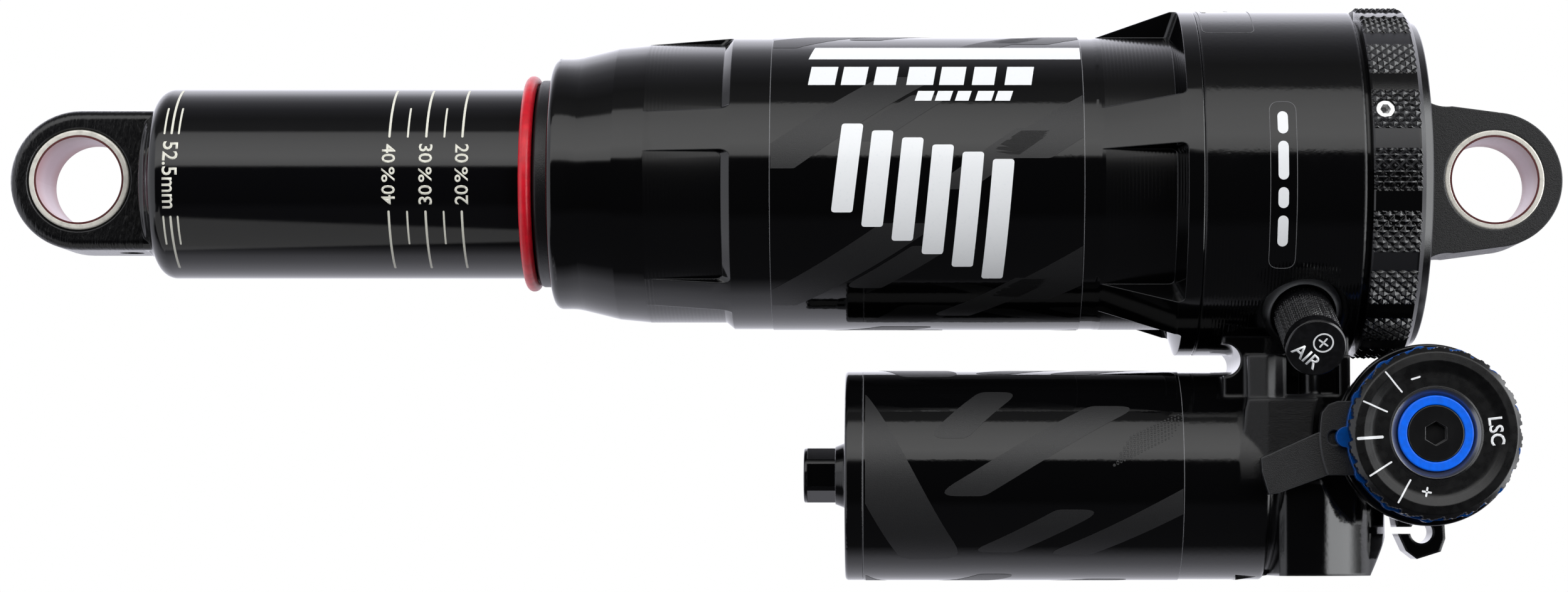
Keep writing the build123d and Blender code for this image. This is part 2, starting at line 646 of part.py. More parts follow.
def compression_lever():
    """The lever: a ring hub, a raised rim sector with an index notch, and a flat arm."""
    front, back = -18.1, -15.95
    hub = on_dial(ring(front, back, 5.06, LEVER_HUB_R))
    sector = slab(
        [(-20.0, -33.3), (-25.1, -33.3), (-26.4, -33.75), (-27.2, -34.7), (-29.0, -37.0), (-29.0, -44.0),
         (-20.0, -44.0)],
        front, back,
    )
    sector &= on_dial(ring(-19.0, -15.0, 8.0, LEVER_SECTOR_R))
    arm = slab(
        [(-25.65, -37.2), (-28.15, -37.9), (-36.15, -41.5), (-36.05, -43.5), (-35.05, -46.8), (-33.75, -46.6),
         (-25.15, -43.5)],
        -17.7, back,
    )
    lever = hub + sector + arm
    notch_x, notch_z = dial_point(13.9, HSC_LOBE_CLOCK)
    return lever - cross_bore(notch_x, notch_z, 1.1, -19.0, -17.0)


def hsc_dial():
    """The lobed ring behind the front dial, with one longer pointer lobe."""
    front, back = -19.85, -18.3
    dial = ring(front, back, 5.06, HSC_R)
    for i in range(HSC_LOBES):
        angle = HSC_LOBE_CLOCK + 360.0 / HSC_LOBES * i
        reach = HSC_R + HSC_LOBE if i else HSC_R + 1.5
        lobe = Pos((front + back) / 2, 0, 0) * Rot(0, 90, 0) * Cylinder(1.5, back - front)
        dial += Rot(-angle, 0, 0) * Pos(0, -(reach - 1.5), 0) * lobe
    return on_dial(dial)


def lsc_grip(front, back):
    """The front dial's grip outline: fine teeth, every third one a little lower."""
    points = []
    pitch = 360.0 / LSC_TEETH
    for i in range(LSC_TEETH):
        crest = LSC_R - (0.3 if i % 3 == 2 else 0.0)
        for part, radius in ((0.0, crest - 0.16), (0.3, crest - 0.16), (0.45, crest), (0.85, crest)):
            angle = radians(pitch * (i + part))
            points.append((radius * cos(angle), radius * sin(angle)))
    face = Plane.YZ * make_face(Polyline(*points, close=True))
    return Pos(front, 0, 0) * extrude(face, amount=back - front)


def lsc_dial():
    """The front dial: a dished face, a raised centre and a toothed rim."""
    front, back = -23.0, -20.05
    recess = BLUE_RING_R + 0.05
    dial = lathe(
        (back, 2.15), (back, LSC_R - 0.25), (back - 0.4, LSC_R + 0.02), (front + 0.75, LSC_R + 0.02),
        (front + 0.1, 11.65, 0.3), (front, 10.4, 0.2), (front + 0.35, 8.9, 2.0), (front + 0.35, 6.7),
        (front + 0.1, 6.5, 0.1), (front + 1.2, recess), (-21.2, recess), (-21.2, 2.15),
    )
    return on_dial(dial & lsc_grip(front - 1, back + 1))


def lsc_ring():
    return on_dial(ring(-22.35, -21.2, DIAL_SCREW_R + 0.07, BLUE_RING_R, corner=0.2))


def dial_screw():
    screw = ring(-22.45, -21.2, 0, DIAL_SCREW_R) + ring(-21.3, -12.0, 0, 2.0)
    return on_dial(screw - hex_bar(3.0, -23.0, -21.4))


# ---------------------------------------------------------------- every piece, by node name
def pieces():
    right = PISTON_X + PISTON_LENGTH
    return {
        "air_shaft": air_shaft(),
        "shaft_eye_bushing": eye_bushing(SHAFT_EYE_X),
        "shaft_eye_liner": eye_liner(SHAFT_EYE_X),
        "rebound_adjuster": rebound_adjuster(),
        "rebound_rod": rebound_rod(),
        "damper_rod": damper_rod(),
        "main_piston": main_piston(),
        "piston_band": piston_band(),
        "compression_shims": shim_stack(PISTON_X, -1, (8.6, 7.4, 6.2, 5.0), 0.3),
        "topout_washer": ring(PISTON_X - 2.4, PISTON_X - 1.2, 3.0, 7.5),
        "rebound_shims": shim_stack(right, 1, (8.6, 7.4, 6.2, 5.0), 0.35),
        "piston_nut": piston_nut(),
        "bottomout_bumper": bottomout_bumper(),
        "air_piston": air_piston(),
        "air_piston_seal": air_piston_seal(),
        "air_piston_inner_seal": air_piston_inner_seal(),
        "air_piston_glide_ring": air_piston_glide_ring(),
        "sag_ring": sag_ring(),
        "damper_tube": damper_tube(),
        "damper_seal_head": damper_seal_head(),
        "rod_bushing": rod_bushing(),
        "rod_seal": rod_seal(),
        "topout_bumper": topout_bumper(),
        "air_can": air_can(),
        "can_decal": can_decal(),
        "wiper_seal": wiper_seal(),
        "can_air_seal": can_air_seal(),
        "can_bushing": can_bushing(),
        "can_oring": can_oring(),
        "head_body": head_body(),
        "reservoir_cap": reservoir_cap(),
        "reservoir_cap_oring": reservoir_cap_oring(),
        "charge_screw": charge_screw(),
        "ifp_piston": ifp_piston(),
        "ifp_seal": ifp_seal(),
        "reservoir_decal": reservoir_decal(),
        "head_eyelet": head_eyelet(),
        "head_eye_bushing": eye_bushing(0),
        "head_eye_liner": eye_liner(0),
        "locking_collar": locking_collar(),
        "collar_set_screw": collar_set_screw(),
        "valve_stem": valve_stem(),
        "valve_core": valve_core(),
        "valve_oring": valve_oring(),
        "valve_cap": valve_cap(),
        "compression_cartridge": compression_cartridge(),
        "adjuster_base_ring": adjuster_base_ring(),
        "compression_lever": compression_lever(),
        "hsc_dial": hsc_dial(),
        "lsc_dial": lsc_dial(),
        "lsc_ring": lsc_ring(),
        "dial_screw": dial_screw(),
    }


os.makedirs("parts", exist_ok=True)
for name, shape in pieces().items():
    export_step(shape, f"parts/{name}.step")
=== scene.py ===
import json
import math

import bmesh
import bpy
from mathutils import Matrix, Vector
from mathutils.bvhtree import BVHTree


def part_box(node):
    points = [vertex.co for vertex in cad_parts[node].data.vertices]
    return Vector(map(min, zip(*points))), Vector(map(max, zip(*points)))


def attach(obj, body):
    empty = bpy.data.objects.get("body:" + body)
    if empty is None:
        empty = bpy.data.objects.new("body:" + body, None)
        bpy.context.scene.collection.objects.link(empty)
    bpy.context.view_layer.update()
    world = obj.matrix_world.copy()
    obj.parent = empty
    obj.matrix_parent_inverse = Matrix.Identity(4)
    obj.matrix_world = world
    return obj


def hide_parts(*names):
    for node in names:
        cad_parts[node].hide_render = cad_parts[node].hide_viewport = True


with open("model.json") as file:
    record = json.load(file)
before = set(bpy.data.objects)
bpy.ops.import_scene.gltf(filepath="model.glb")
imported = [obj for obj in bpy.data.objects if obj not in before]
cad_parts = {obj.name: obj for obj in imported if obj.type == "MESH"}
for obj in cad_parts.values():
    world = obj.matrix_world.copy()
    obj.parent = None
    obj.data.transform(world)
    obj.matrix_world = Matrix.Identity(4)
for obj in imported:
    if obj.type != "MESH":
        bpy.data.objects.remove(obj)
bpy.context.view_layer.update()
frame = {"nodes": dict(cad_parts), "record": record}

RECORD = frame["record"]
MM = 0.001

# ---------------------------------------------------------------- places, from the frame
AXIS = Vector((0.0, 0.0, 0.0))
SHAFT_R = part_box("air_shaft")[1][1]
FILM_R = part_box("can_decal")[1][1]
HEAD_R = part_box("air_can")[1][1]  # the can's flange is as wide as the head's barrel

RESERVOIR_LOW, RESERVOIR_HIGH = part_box("reservoir_decal")
RESERVOIR_Z = (RESERVOIR_LOW[2] + RESERVOIR_HIGH[2]) / 2
RESERVOIR_AXIS = Vector((0.0, 0.0, RESERVOIR_Z))
RESERVOIR_R = RESERVOIR_HIGH[1]

DIAL_LOW, DIAL_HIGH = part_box("lsc_dial")
DIAL = Vector(((DIAL_LOW[0] + DIAL_HIGH[0]) / 2, DIAL_LOW[1], (DIAL_LOW[2] + DIAL_HIGH[2]) / 2))

VALVE_AXIS = Vector((0.05, -0.885, -0.465)).normalized()
VALVE_FOOT = Vector((-29.6, -14.6, -20.5)) * MM
CAP_R = 4.37 * MM
CAP_START = -0.9 * MM
CAP_END = 12.1 * MM

COLLAR_LOW, COLLAR_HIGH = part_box("locking_collar")
COLLAR_R = COLLAR_HIGH[1]
COLLAR_LANDS = 18
LAND_CLOCK = 11.2
LAND_HALF = 3.5
LAND_DEPTH = 0.35
COLLAR_STEPS = 1080
COLLAR_KNURL = 1.6
COLLAR_KNURL_DEPTH = 0.5
CAP_STEPS = 300
CAP_KNURL = 0.68
CAP_KNURL_DEPTH = 0.22

# Stretches along X, in millimetres.
LEFT_POCKETS = (-125.4, -114.2)
RIGHT_POCKETS = (-58.6, -48.4)
CAN_FILM = (-107.1, -61.6)
CAN_PRINT = (-106.9, -61.8)
RESERVOIR_FILM = (-93.65, -47.0)
RESERVOIR_PRINT = (-93.3, -47.2)
NECK = (-39.0, -26.5)
COLLAR_FACE = (-13.8, -14.2)
SHAFT_LUG = (-200.2, -200.4)

# Radii, in millimetres. A floor's look fades in from its first radius down to its second.
LEFT_FLOOR_R = (20.92, 20.85)
RIGHT_FLOOR_R = (22.05, 21.95)
HEAD_BARREL_R = (25.4, 26.0)
VALVE_RIM_R = (4.85, 6.0)
DIAL_CENTRE_R = (5.3, 6.42)


# ---------------------------------------------------------------- node helper
class Net:
    """A node tree with short calls: an input is a number, a colour or another node's output."""

    def __init__(self, tree):
        self.tree = tree
        tree.nodes.clear()

    def add(self, kind, inputs=None, **settings):
        node = self.tree.nodes.new(kind)
        for key, value in settings.items():
            setattr(node, key, value)
        for key, value in (inputs or {}).items():
            self.put(node.inputs[key], value)
        return node

    def put(self, socket, value):
        if isinstance(value, bpy.types.NodeSocket):
            self.tree.links.new(value, socket)
        elif isinstance(value, (tuple, list)) and len(value) == 3 and socket.type == "RGBA":
            socket.default_value = (*value, 1.0)
        else:
            socket.default_value = value

    def math(self, operation, a, b=0.0, c=0.0, clamp=False):
        node = self.add("ShaderNodeMath", operation=operation, use_clamp=clamp)
        for socket, value in zip(node.inputs, (a, b, c)):
            self.put(socket, value)
        return node.outputs[0]

    def step(self, value, low, high):
        """0 below low and 1 above high, smooth between; low may be above high."""
        node = self.add("ShaderNodeMapRange", {"Value": value, "From Min": low, "From Max": high})
        node.interpolation_type = "SMOOTHSTEP"
        return node.outputs["Result"]

    def band(self, value, low, high, soft):
        """1 between low and high, with soft edges, and 0 outside."""
        rise = self.step(value, low - soft, low + soft)
        fall = self.step(value, high + soft, high - soft)
        return self.math("MULTIPLY", rise, fall)

    def blend(self, fac, a, b, kind="RGBA"):
        """A mix of two colours: a where fac is 0, b where it is 1."""
        node = self.add("ShaderNodeMix", data_type=kind)
        for name, value in (("Factor", fac), ("A", a), ("B", b)):
            self.put(node.inputs[name], value)
        return node.outputs["Result"]

    def between(self, fac, a, b):
        """A mix of two numbers."""
        return self.blend(fac, a, b, "FLOAT")

    def hypot(self, a, b):
        """The distance from two legs at right angles."""
        squares = self.math("ADD", self.math("MULTIPLY", a, a), self.math("MULTIPLY", b, b))
        return self.math("SQRT", squares)

    def vector(self, operation, a, b=(0.0, 0.0, 0.0), output="Vector"):
        return self.add("ShaderNodeVectorMath", {0: a, 1: b}, operation=operation).outputs[output]

    def place(self):
        """The surface's place in millimetres, in the object's own frame."""
        place = self.add("ShaderNodeTexCoord").outputs["Object"]
        return self.add("ShaderNodeVectorMath", {0: place, "Scale": 1 / MM}, operation="SCALE").outputs[0]

    def position(self):
        """The surface's place, and its X, Y and Z."""
        place = self.place()
        split = self.add("ShaderNodeSeparateXYZ", {0: place})
        return place, split.outputs["X"], split.outputs["Y"], split.outputs["Z"]

    def noise(self, vector, scale, detail=3.0, stretch=(1.0, 1.0, 1.0), rough=0.5):
        mapped = self.add("ShaderNodeMapping", {"Vector": vector})
        mapped.inputs["Scale"].default_value = stretch
        node = self.add("ShaderNodeTexNoise", {"Vector": mapped.outputs[0], "Scale": scale})
        node.inputs["Detail"].default_value = detail
        node.inputs["Roughness"].default_value = rough
        return node.outputs["Fac"]

    def bump(self, height, strength, distance, normal=None):
        node = self.add("ShaderNodeBump", {"Height": height, "Strength": strength, "Distance": distance})
        if normal is not None:
            self.put(node.inputs["Normal"], normal)
        return node.outputs["Normal"]

    def softened(self, radius):
        """A normal rounded over the edges."""
        return self.add("ShaderNodeBevel", {"Radius": radius}, samples=6).outputs["Normal"]

    def edges(self, radius):
        """A normal rounded over the edges, and a mask of those edges."""
        soft = self.softened(radius)
        flat = self.add("ShaderNodeNewGeometry").outputs["Normal"]
        return soft, self.step(self.vector("DOT_PRODUCT", soft, flat, "Value"), 0.995, 0.86)


MATERIALS = {}


def material(name, build):
    """A material by name, made once. build gets the node helper and returns the shader's output."""
    if name not in MATERIALS:
        made = bpy.data.materials.new(name)
        made.use_nodes = True
        net = Net(made.node_tree)
        out = net.add("ShaderNodeOutputMaterial")
        net.put(out.inputs["Surface"], build(net))
        MATERIALS[name] = made
    return MATERIALS[name]


def principled(net, colour, roughness, normal=None, **sockets):
    """The surface shader; any other of its sockets is given by its own name."""
    shader = net.add("ShaderNodeBsdfPrincipled")
    net.put(shader.inputs["Base Color"], colour)
    net.put(shader.inputs["Roughness"], roughness)
    if normal is not None:
        net.put(shader.inputs["Normal"], normal)
    for name, value in sockets.items():
        net.put(shader.inputs[name], value)
    return shader.outputs[0]


# ---------------------------------------------------------------- metals
def anodised(colour, roughness, edge_highlight_colour, marks=0.0, grain=0.02, edge=0.00018):
    """Anodised aluminium: fine grain, a patchy painted highlight along its edges, and turning marks round
    X if marks is above 0.
    """
    def build(net):
        place = net.place()
        normal, lit_edges = net.edges(edge)
        smudge = net.noise(place, 0.22, 4.0)
        rough = net.between(net.step(smudge, 0.35, 0.7), roughness * 0.88, roughness * 1.15)
        fine = net.noise(place, 14.0, 2.0)
        normal = net.bump(fine, grain, 0.0002, normal)
        if marks:
            rings = net.noise(place, 1.0, 2.0, (9.0, 0.35, 0.35))
            normal = net.bump(rings, marks, 0.0002, normal)
        highlight_patches = net.step(net.noise(place, 1.6, 5.0), 0.42, 0.62)
        edge_highlight = net.math("MULTIPLY", lit_edges, net.math("MULTIPLY_ADD", highlight_patches, 0.6, 0.4))
        # The edges are painted lighter in patches: a painted highlight.
        shade = net.blend(edge_highlight, colour, edge_highlight_colour)
        return principled(net, shade, rough, normal)
    return build


def can_finish(net):
    """Gloss black, with the cutter's marks showing on the floors of both rings of pockets, and a painted
    highlight along the edges.
    """
    place, x, y, z = net.position()
    normal, lit_edges = net.edges(0.0002)
    radius = net.hypot(y, z)
    left = net.math("MULTIPLY", net.step(radius, *LEFT_FLOOR_R), net.band(x, *LEFT_POCKETS, 0.05))
    right = net.math("MULTIPLY", net.step(radius, *RIGHT_FLOOR_R), net.band(x, *RIGHT_POCKETS, 0.05))
    floor = net.math("ADD", left, right, clamp=True)
    rings = net.math("SINE", net.math("MULTIPLY", x, math.tau / 0.55))
    broken = net.step(net.noise(place, 1.0, 1.0, (0.08, 0.12, 0.12)), 0.3, 0.75)
    height = net.math("MULTIPLY", net.math("MULTIPLY", rings, broken), floor)
    normal = net.bump(height, 0.22, 0.0001, normal)
    fine = net.noise(place, 1.0, 3.0, (10.0, 0.5, 0.5))
    normal = net.bump(fine, 0.03, 0.0001, normal)
    smudge = net.noise(place, 0.2, 4.0)
    rough = net.between(net.step(smudge, 0.3, 0.7), 0.055, 0.085)
    rough = net.between(floor, rough, 0.2)
    # The edges are painted lighter: a painted highlight.
    shade = net.blend(net.math("MULTIPLY", lit_edges, 0.55), (0.0022, 0.0022, 0.0025), (0.06, 0.062, 0.068))
    return principled(net, shade, rough, normal)


def valve_rim_mask(net, place):
    """1 on the raised rim round the valve."""
    from_foot = net.vector("SUBTRACT", place, tuple(VALVE_FOOT / MM))
    aside = net.vector("CROSS_PRODUCT", from_foot, tuple(VALVE_AXIS))
    away = net.vector("LENGTH", aside, output="Value")
    along = net.vector("DOT_PRODUCT", from_foot, tuple(VALVE_AXIS), "Value")
    return net.math("MULTIPLY", net.band(away, *VALVE_RIM_R, 0.05), net.band(along, -1.0, 4.0, 0.1))


def head_finish(net):
    """Gloss black on the turned barrel and the reservoir, satin where the forging isn't machined, with a
    painted highlight along the edges and on the upper side of the valve's rim.
    """
    place, x, y, z = net.position()
    normal, lit_edges = net.edges(0.0007)
    radius = net.hypot(y, z)
    turned = net.math("MULTIPLY", net.band(radius, *HEAD_BARREL_R, 0.1), net.step(z, -24.5, -23.5))
    marks = net.math("SINE", net.math("MULTIPLY", x, math.tau / 0.5))
    soft = net.noise(place, 1.0, 2.0, (1.0, 0.15, 0.15))
    low = net.step(z, -6.0, -13.0)
    rings = net.math("MULTIPLY", net.math("MULTIPLY", marks, soft), net.math("MULTIPLY", turned, low))
    normal = net.bump(rings, 0.18, 0.0001, normal)
    normal = net.bump(net.noise(place, 1.5, 3.0), 0.03, 0.0003, normal)
    neck = net.math("MULTIPLY", net.band(x, *NECK, 0.3), net.band(z, -45.0, -26.0, 0.8))
    neck = net.math("MULTIPLY", neck, net.step(y, -12.0, -13.5))
    grit = net.noise(place, 9.0, 3.0)
    normal = net.bump(grit, net.math("MULTIPLY", neck, 0.22), 0.0002, normal)
    rim = valve_rim_mask(net, place)
    smudge = net.noise(place, 0.25, 5.0)
    rough = net.between(net.step(smudge, 0.35, 0.7), 0.06, 0.10)
    rough = net.between(neck, rough, 0.20)
    rough = net.between(rim, rough, 0.34)
    base = net.blend(neck, (0.0022, 0.0022, 0.0025), (0.0045, 0.0045, 0.005))
    # The upper side of the valve's rim is painted pale grey: a painted highlight.
    base = net.blend(net.math("MULTIPLY", rim, net.step(z, -21.5, -17.5)), base, (0.45, 0.46, 0.48))
    # The edges are painted lighter: a painted highlight.
    shade = net.blend(net.math("MULTIPLY", lit_edges, 0.22), base, (0.07, 0.072, 0.078))
    return principled(net, shade, rough, normal)


def shaft_finish(net):
    """Hard-anodised tube: even gloss, faint cloudy handling marks, machining on the lug's faces, and a
    painted highlight along the edges.
    """
    place, x, _, _ = net.position()
    normal, lit_edges = net.edges(0.00025)
    lug = net.step(x, *SHAFT_LUG)
    cloud = net.noise(place, 0.35, 6.0, (1.0, 1.0, 1.0), 0.65)
    rough = net.between(net.step(cloud, 0.35, 0.7), 0.05, 0.085)
    rough = net.between(lug, rough, 0.22)
    streak = net.noise(place, 1.0, 4.0, (3.0, 1.0, 0.6))
    normal = net.bump(streak, net.math("MULTIPLY", lug, 0.35), 0.0003, normal)
    normal = net.bump(net.noise(place, 10.0, 2.0), 0.015, 0.0002, normal)
    # The edges are painted lighter: a painted highlight.
    shade = net.blend(net.math("MULTIPLY", lit_edges, 0.5), (0.0028, 0.0028, 0.0034), (0.07, 0.07, 0.078))
    return principled(net, shade, rough, normal)


def blasted(colour, edge_highlight_colour, roughness):
    """Matte bead-blasted and anodised metal with a painted highlight along its edges."""
    def build(net):
        place = net.place()
        normal, lit_edges = net.edges(0.0003)
        normal = net.bump(net.noise(place, 7.0, 4.0), 0.25, 0.0002, normal)
        tone = net.noise(place, 0.6, 5.0)
        shade = net.blend(net.step(tone, 0.3, 0.7), colour, tuple(c * 0.82 for c in colour))
        # The edges are painted lighter: a painted highlight.
        shade = net.blend(net.math("MULTIPLY", lit_edges, 0.7), shade, edge_highlight_colour)
        cloud = net.step(net.noise(place, 2.5, 4.0), 0.35, 0.65)
        rough = net.between(cloud, roughness * 0.9, roughness * 1.12)
        return principled(net, shade, rough, normal)
    return build


def turned_metal(colour, roughness, about=(1.0, 0.0, 0.0), metallic=1.0, marks=0.12):
    """Bare machined metal with fine turning marks; about is the lathe axis."""
    def build(net):
        place = net.place()
        normal = net.softened(0.00015)
        stretch = tuple(12.0 if c else 0.6 for c in about)
        lines = net.noise(place, 1.0, 3.0, stretch)
        normal = net.bump(lines, marks, 0.0002, normal)
        tarnish = net.step(net.noise(place, 0.9, 5.0), 0.4, 0.75)
        shade = net.blend(tarnish, colour, tuple(c * 0.72 for c in colour))
        rough = net.between(tarnish, roughness, roughness * 1.5)
        return principled(net, shade, rough, normal, Metallic=metallic)
    return build


def dial_finish(net):
    """Satin black anodising with turning marks round the dial's own axis, and a painted highlight along
    the edges.
    """
    place, x, y, z = net.position()
    normal, lit_edges = net.edges(0.00022)
    across = net.math("SUBTRACT", x, DIAL.x / MM)
    up = net.math("SUBTRACT", z, DIAL.z / MM)
    radius = net.hypot(across, up)
    spun = net.add("ShaderNodeCombineXYZ", {"X": radius, "Y": net.math("MULTIPLY", y, 0.3), "Z": 0.0})
    normal = net.bump(net.noise(spun.outputs[0], 7.0, 3.0), 0.06, 0.0001, normal)
    centre = net.band(radius, *DIAL_CENTRE_R, 0.06)
    rough = net.between(net.step(net.noise(place, 0.8, 4.0), 0.35, 0.7), 0.26, 0.32)
    rough = net.between(centre, rough, 0.22)
    # The edges are painted lighter: a painted highlight.
    shade = net.blend(net.math("MULTIPLY", lit_edges, 0.4), (0.0028, 0.0028, 0.0031), (0.09, 0.09, 0.10))
    shade = net.blend(centre, shade, (0.20, 0.205, 0.215))
    return principled(net, shade, rough, normal, Metallic=net.math("MULTIPLY", centre, 0.85))


def blue_finish(colour, roughness):
    """Bright blue anodising, with a painted highlight along its edges."""
    def build(net):
        place = net.place()
        normal, lit_edges = net.edges(0.00015)
        normal = net.bump(net.noise(place, 12.0, 3.0), 0.08, 0.0001, normal)
        tone = net.noise(place, 1.4, 4.0)
        shade = net.blend(net.step(tone, 0.35, 0.7), colour, tuple(c * 0.85 for c in colour))
        # The edges are painted paler: a painted highlight.
        shade = net.blend(net.math("MULTIPLY", lit_edges, 0.3), shade, (0.12, 0.32, 0.9))
        rough = net.between(tone, roughness * 0.85, roughness * 1.2)
        return principled(net, shade, rough, normal)
    return build


def liner_finish(net):
    """The eye's bearing liner: a maroon cut edge, and a wall inside that runs from the liner's maroon to
    pale lavender, a painted reflection.
    """
    place, _, y, _ = net.position()
    depth = net.math("ABSOLUTE", y)
    mouth = net.step(depth, 6.15, 6.3)
    weave = net.noise(place, 5.0, 4.0)
    normal = net.bump(weave, 0.12, 0.0002)
    # Maroon near the mouth, pale lavender deeper in: the lavender is a painted reflection.
    wall_and_reflection = net.blend(net.step(depth, 6.3, 1.5), (0.42, 0.17, 0.19), (0.56, 0.40, 0.46))
    wall_and_reflection = net.blend(net.math("MULTIPLY", net.step(weave, 0.4, 0.7), 0.3), wall_and_reflection, (0.42, 0.30, 0.34))
    return principled(net, net.blend(mouth, wall_and_reflection, (0.10, 0.02, 0.02)), 0.34, normal)


def collar_finish(net):
    """Black anodised knurl with a painted highlight on its tips; every other smooth land is satin."""
    place, x, y, z = net.position()
    radius = net.hypot(y, z)
    tip_glint = net.step(radius, COLLAR_R / MM - 0.12, COLLAR_R / MM - 0.02)
    pitch = math.tau / COLLAR_LANDS
    clock = net.math("ARCTAN2", net.math("MULTIPLY", z, -1.0), net.math("MULTIPLY", y, -1.0))
    start = 20.25 - math.radians(LAND_CLOCK) / pitch / 2
    turns = net.math("FRACT", net.math("MULTIPLY_ADD", clock, 0.5 / pitch, start))
    satin = net.band(turns, 0.5, 1.0, 0.01)
    low = net.step(radius, COLLAR_R / MM - 0.30, COLLAR_R / MM - 0.34)
    satin = net.math("MULTIPLY", net.math("MULTIPLY", satin, low), net.step(x, *COLLAR_FACE))
    normal = net.bump(net.noise(place, 9.0, 3.0), 0.06, 0.0002)
    # The knurl's tips are painted lighter: a painted highlight.
    shade = net.blend(net.math("MULTIPLY", tip_glint, 0.25), (0.0028, 0.0028, 0.0031), (0.10, 0.10, 0.11))
    shade = net.blend(satin, shade, (0.013, 0.013, 0.015))
    rough = net.between(net.step(net.noise(place, 1.1, 4.0), 0.35, 0.7), 0.09, 0.14)
    rough = net.between(satin, rough, 0.40)
    return principled(net, shade, rough, normal)


def cap_finish(net):
    """Black anodising of the valve's cap."""
    place = net.place()
    normal = net.bump(net.noise(place, 12.0, 3.0), 0.06, 0.0002)
    tone = net.step(net.noise(place, 1.2, 4.0), 0.35, 0.7)
    shade = net.blend(tone, (0.005, 0.005, 0.0055), (0.009, 0.009, 0.010))
    rough = net.between(net.step(net.noise(place, 0.8, 4.0), 0.35, 0.7), 0.11, 0.17)
    return principled(net, shade, rough, normal)


# ---------------------------------------------------------------- rubber, polymer and film
def rubber(colour, roughness, grain=0.18):
    """Rubber or polymer with a fine grain and an uneven tone."""
    def build(net):
        place = net.place()
        normal = net.bump(net.noise(place, 6.0, 4.0), grain, 0.0002)
        tone = net.noise(place, 0.7, 4.0)
        shade = net.blend(net.step(tone, 0.3, 0.75), colour, tuple(c * 0.78 for c in colour))
        rough = net.between(tone, roughness * 0.85, roughness * 1.2)
        return principled(net, shade, rough, normal)
    return build


def film(low_x, high_x):
    """A glossy clear-coated black film with a painted highlight along its cut edges."""
    def build(net):
        place, x, _, _ = net.position()
        left = net.step(x, low_x + 0.14, low_x + 0.02)
        right = net.step(x, high_x - 0.14, high_x - 0.02)
        rim = net.math("ADD", left, right)
        peel = net.noise(place, 1.2, 2.0)
        normal = net.bump(peel, 0.02, 0.0003)
        smudge = net.noise(place, 0.25, 5.0)
        rough = net.between(net.step(smudge, 0.35, 0.7), 0.04, 0.06)
        # The cut edges are painted pale grey: a painted highlight.
        shade = net.blend(rim, (0.002, 0.002, 0.0023), (0.20, 0.20, 0.21))
        return principled(net, shade, rough, normal)
    return build


def satin_print(shade_value):
    """The film's tone-on-tone print: a fine-grained satin grey under the same film."""
    def build(net):
        place = net.place()
        grain = net.noise(place, 7.0, 2.0)
        normal = net.bump(grain, 0.10, 0.0002)
        low = tuple(shade_value * c for c in (0.88, 0.88, 0.92))
        high = tuple(shade_value * c for c in (1.12, 1.12, 1.16))
        return principled(net, net.blend(net.step(grain, 0.35, 0.65), low, high), 0.42, normal)
    return build


def white_print(net):
    """Printed white ink under gloss, a little thin in places."""
    place = net.place()
    thin = net.step(net.noise(place, 3.0, 5.0), 0.55, 0.8)
    shade = net.blend(thin, (0.86, 0.87, 0.88), (0.80, 0.82, 0.84))
    normal = net.bump(net.noise(place, 1.2, 2.0), 0.03, 0.0002)
    return principled(net, shade, 0.22, normal)


def laser_mark(net):
    """Laser-bleached anodising: dull off-white with a fine grain."""
    place = net.place()
    grain = net.noise(place, 20.0, 3.0)
    shade = net.blend(net.step(grain, 0.4, 0.7), (0.80, 0.785, 0.69), (0.66, 0.65, 0.56))
    return principled(net, shade, 0.6, net.bump(grain, 0.15, 0.0001))


SLOT_LOOKS = {
    "black_anodised": anodised((0.0022, 0.0022, 0.0025), 0.08, (0.07, 0.072, 0.08), marks=0.02),
    "shaft_black": shaft_finish,
    "grey_anodised": blasted((0.0075, 0.0075, 0.0084), (0.08, 0.083, 0.09), 0.42),
    "collar_black": collar_finish,
    "dial_black": dial_finish,
    "dial_blue": blue_finish((0.0, 0.118, 0.86), 0.3),
    "plain_aluminium": turned_metal((0.62, 0.63, 0.65), 0.24),
    "bushing_steel": turned_metal((0.86, 0.83, 0.75), 0.34, (0.0, 1.0, 0.0), metallic=0.3),
    "liner": liner_finish,
    "polished_rod": turned_metal((0.80, 0.80, 0.82), 0.08, marks=0.02),
    "steel": turned_metal((0.66, 0.66, 0.66), 0.22),
    "black_steel": anodised((0.006, 0.006, 0.0065), 0.22, (0.11, 0.11, 0.115), edge=0.0002),
    "bearing_polymer": rubber((0.24, 0.17, 0.09), 0.45, grain=0.08),
    "black_rubber": rubber((0.010, 0.010, 0.011), 0.38),
    "red_rubber": rubber((0.78, 0.008, 0.024), 0.33, grain=0.06),
    "bumper_polymer": rubber((0.50, 0.44, 0.16), 0.5),
    "can_film": film(*CAN_FILM),
    "reservoir_film": film(*RESERVOIR_FILM),
    "cap_black": cap_finish,
    "nickel": turned_metal((0.66, 0.63, 0.56), 0.26, (0.0, 1.0, 0.0)),
}
NODE_LOOKS = {
    "air_can": can_finish, "head_body": head_finish,
    # The high-speed dial's blue is darkened: painted shade.
    "hsc_dial": blue_finish((0.0, 0.075, 0.36), 0.2), "lsc_ring": blue_finish((0.0, 0.15, 0.95), 0.3),
}


def dress_cad():
    """Gives every CAD node its own look where it has one, or the look of its slot."""
    for part in RECORD["subparts"]:
        node, slot_name = part["node"], part["material_slot"]
        if node in NODE_LOOKS:
            look = material(node, NODE_LOOKS[node])
        else:
            look = material(slot_name, SLOT_LOOKS[slot_name])
        slots = frame["nodes"][node].data.materials
        slots.clear()
        slots.append(look)


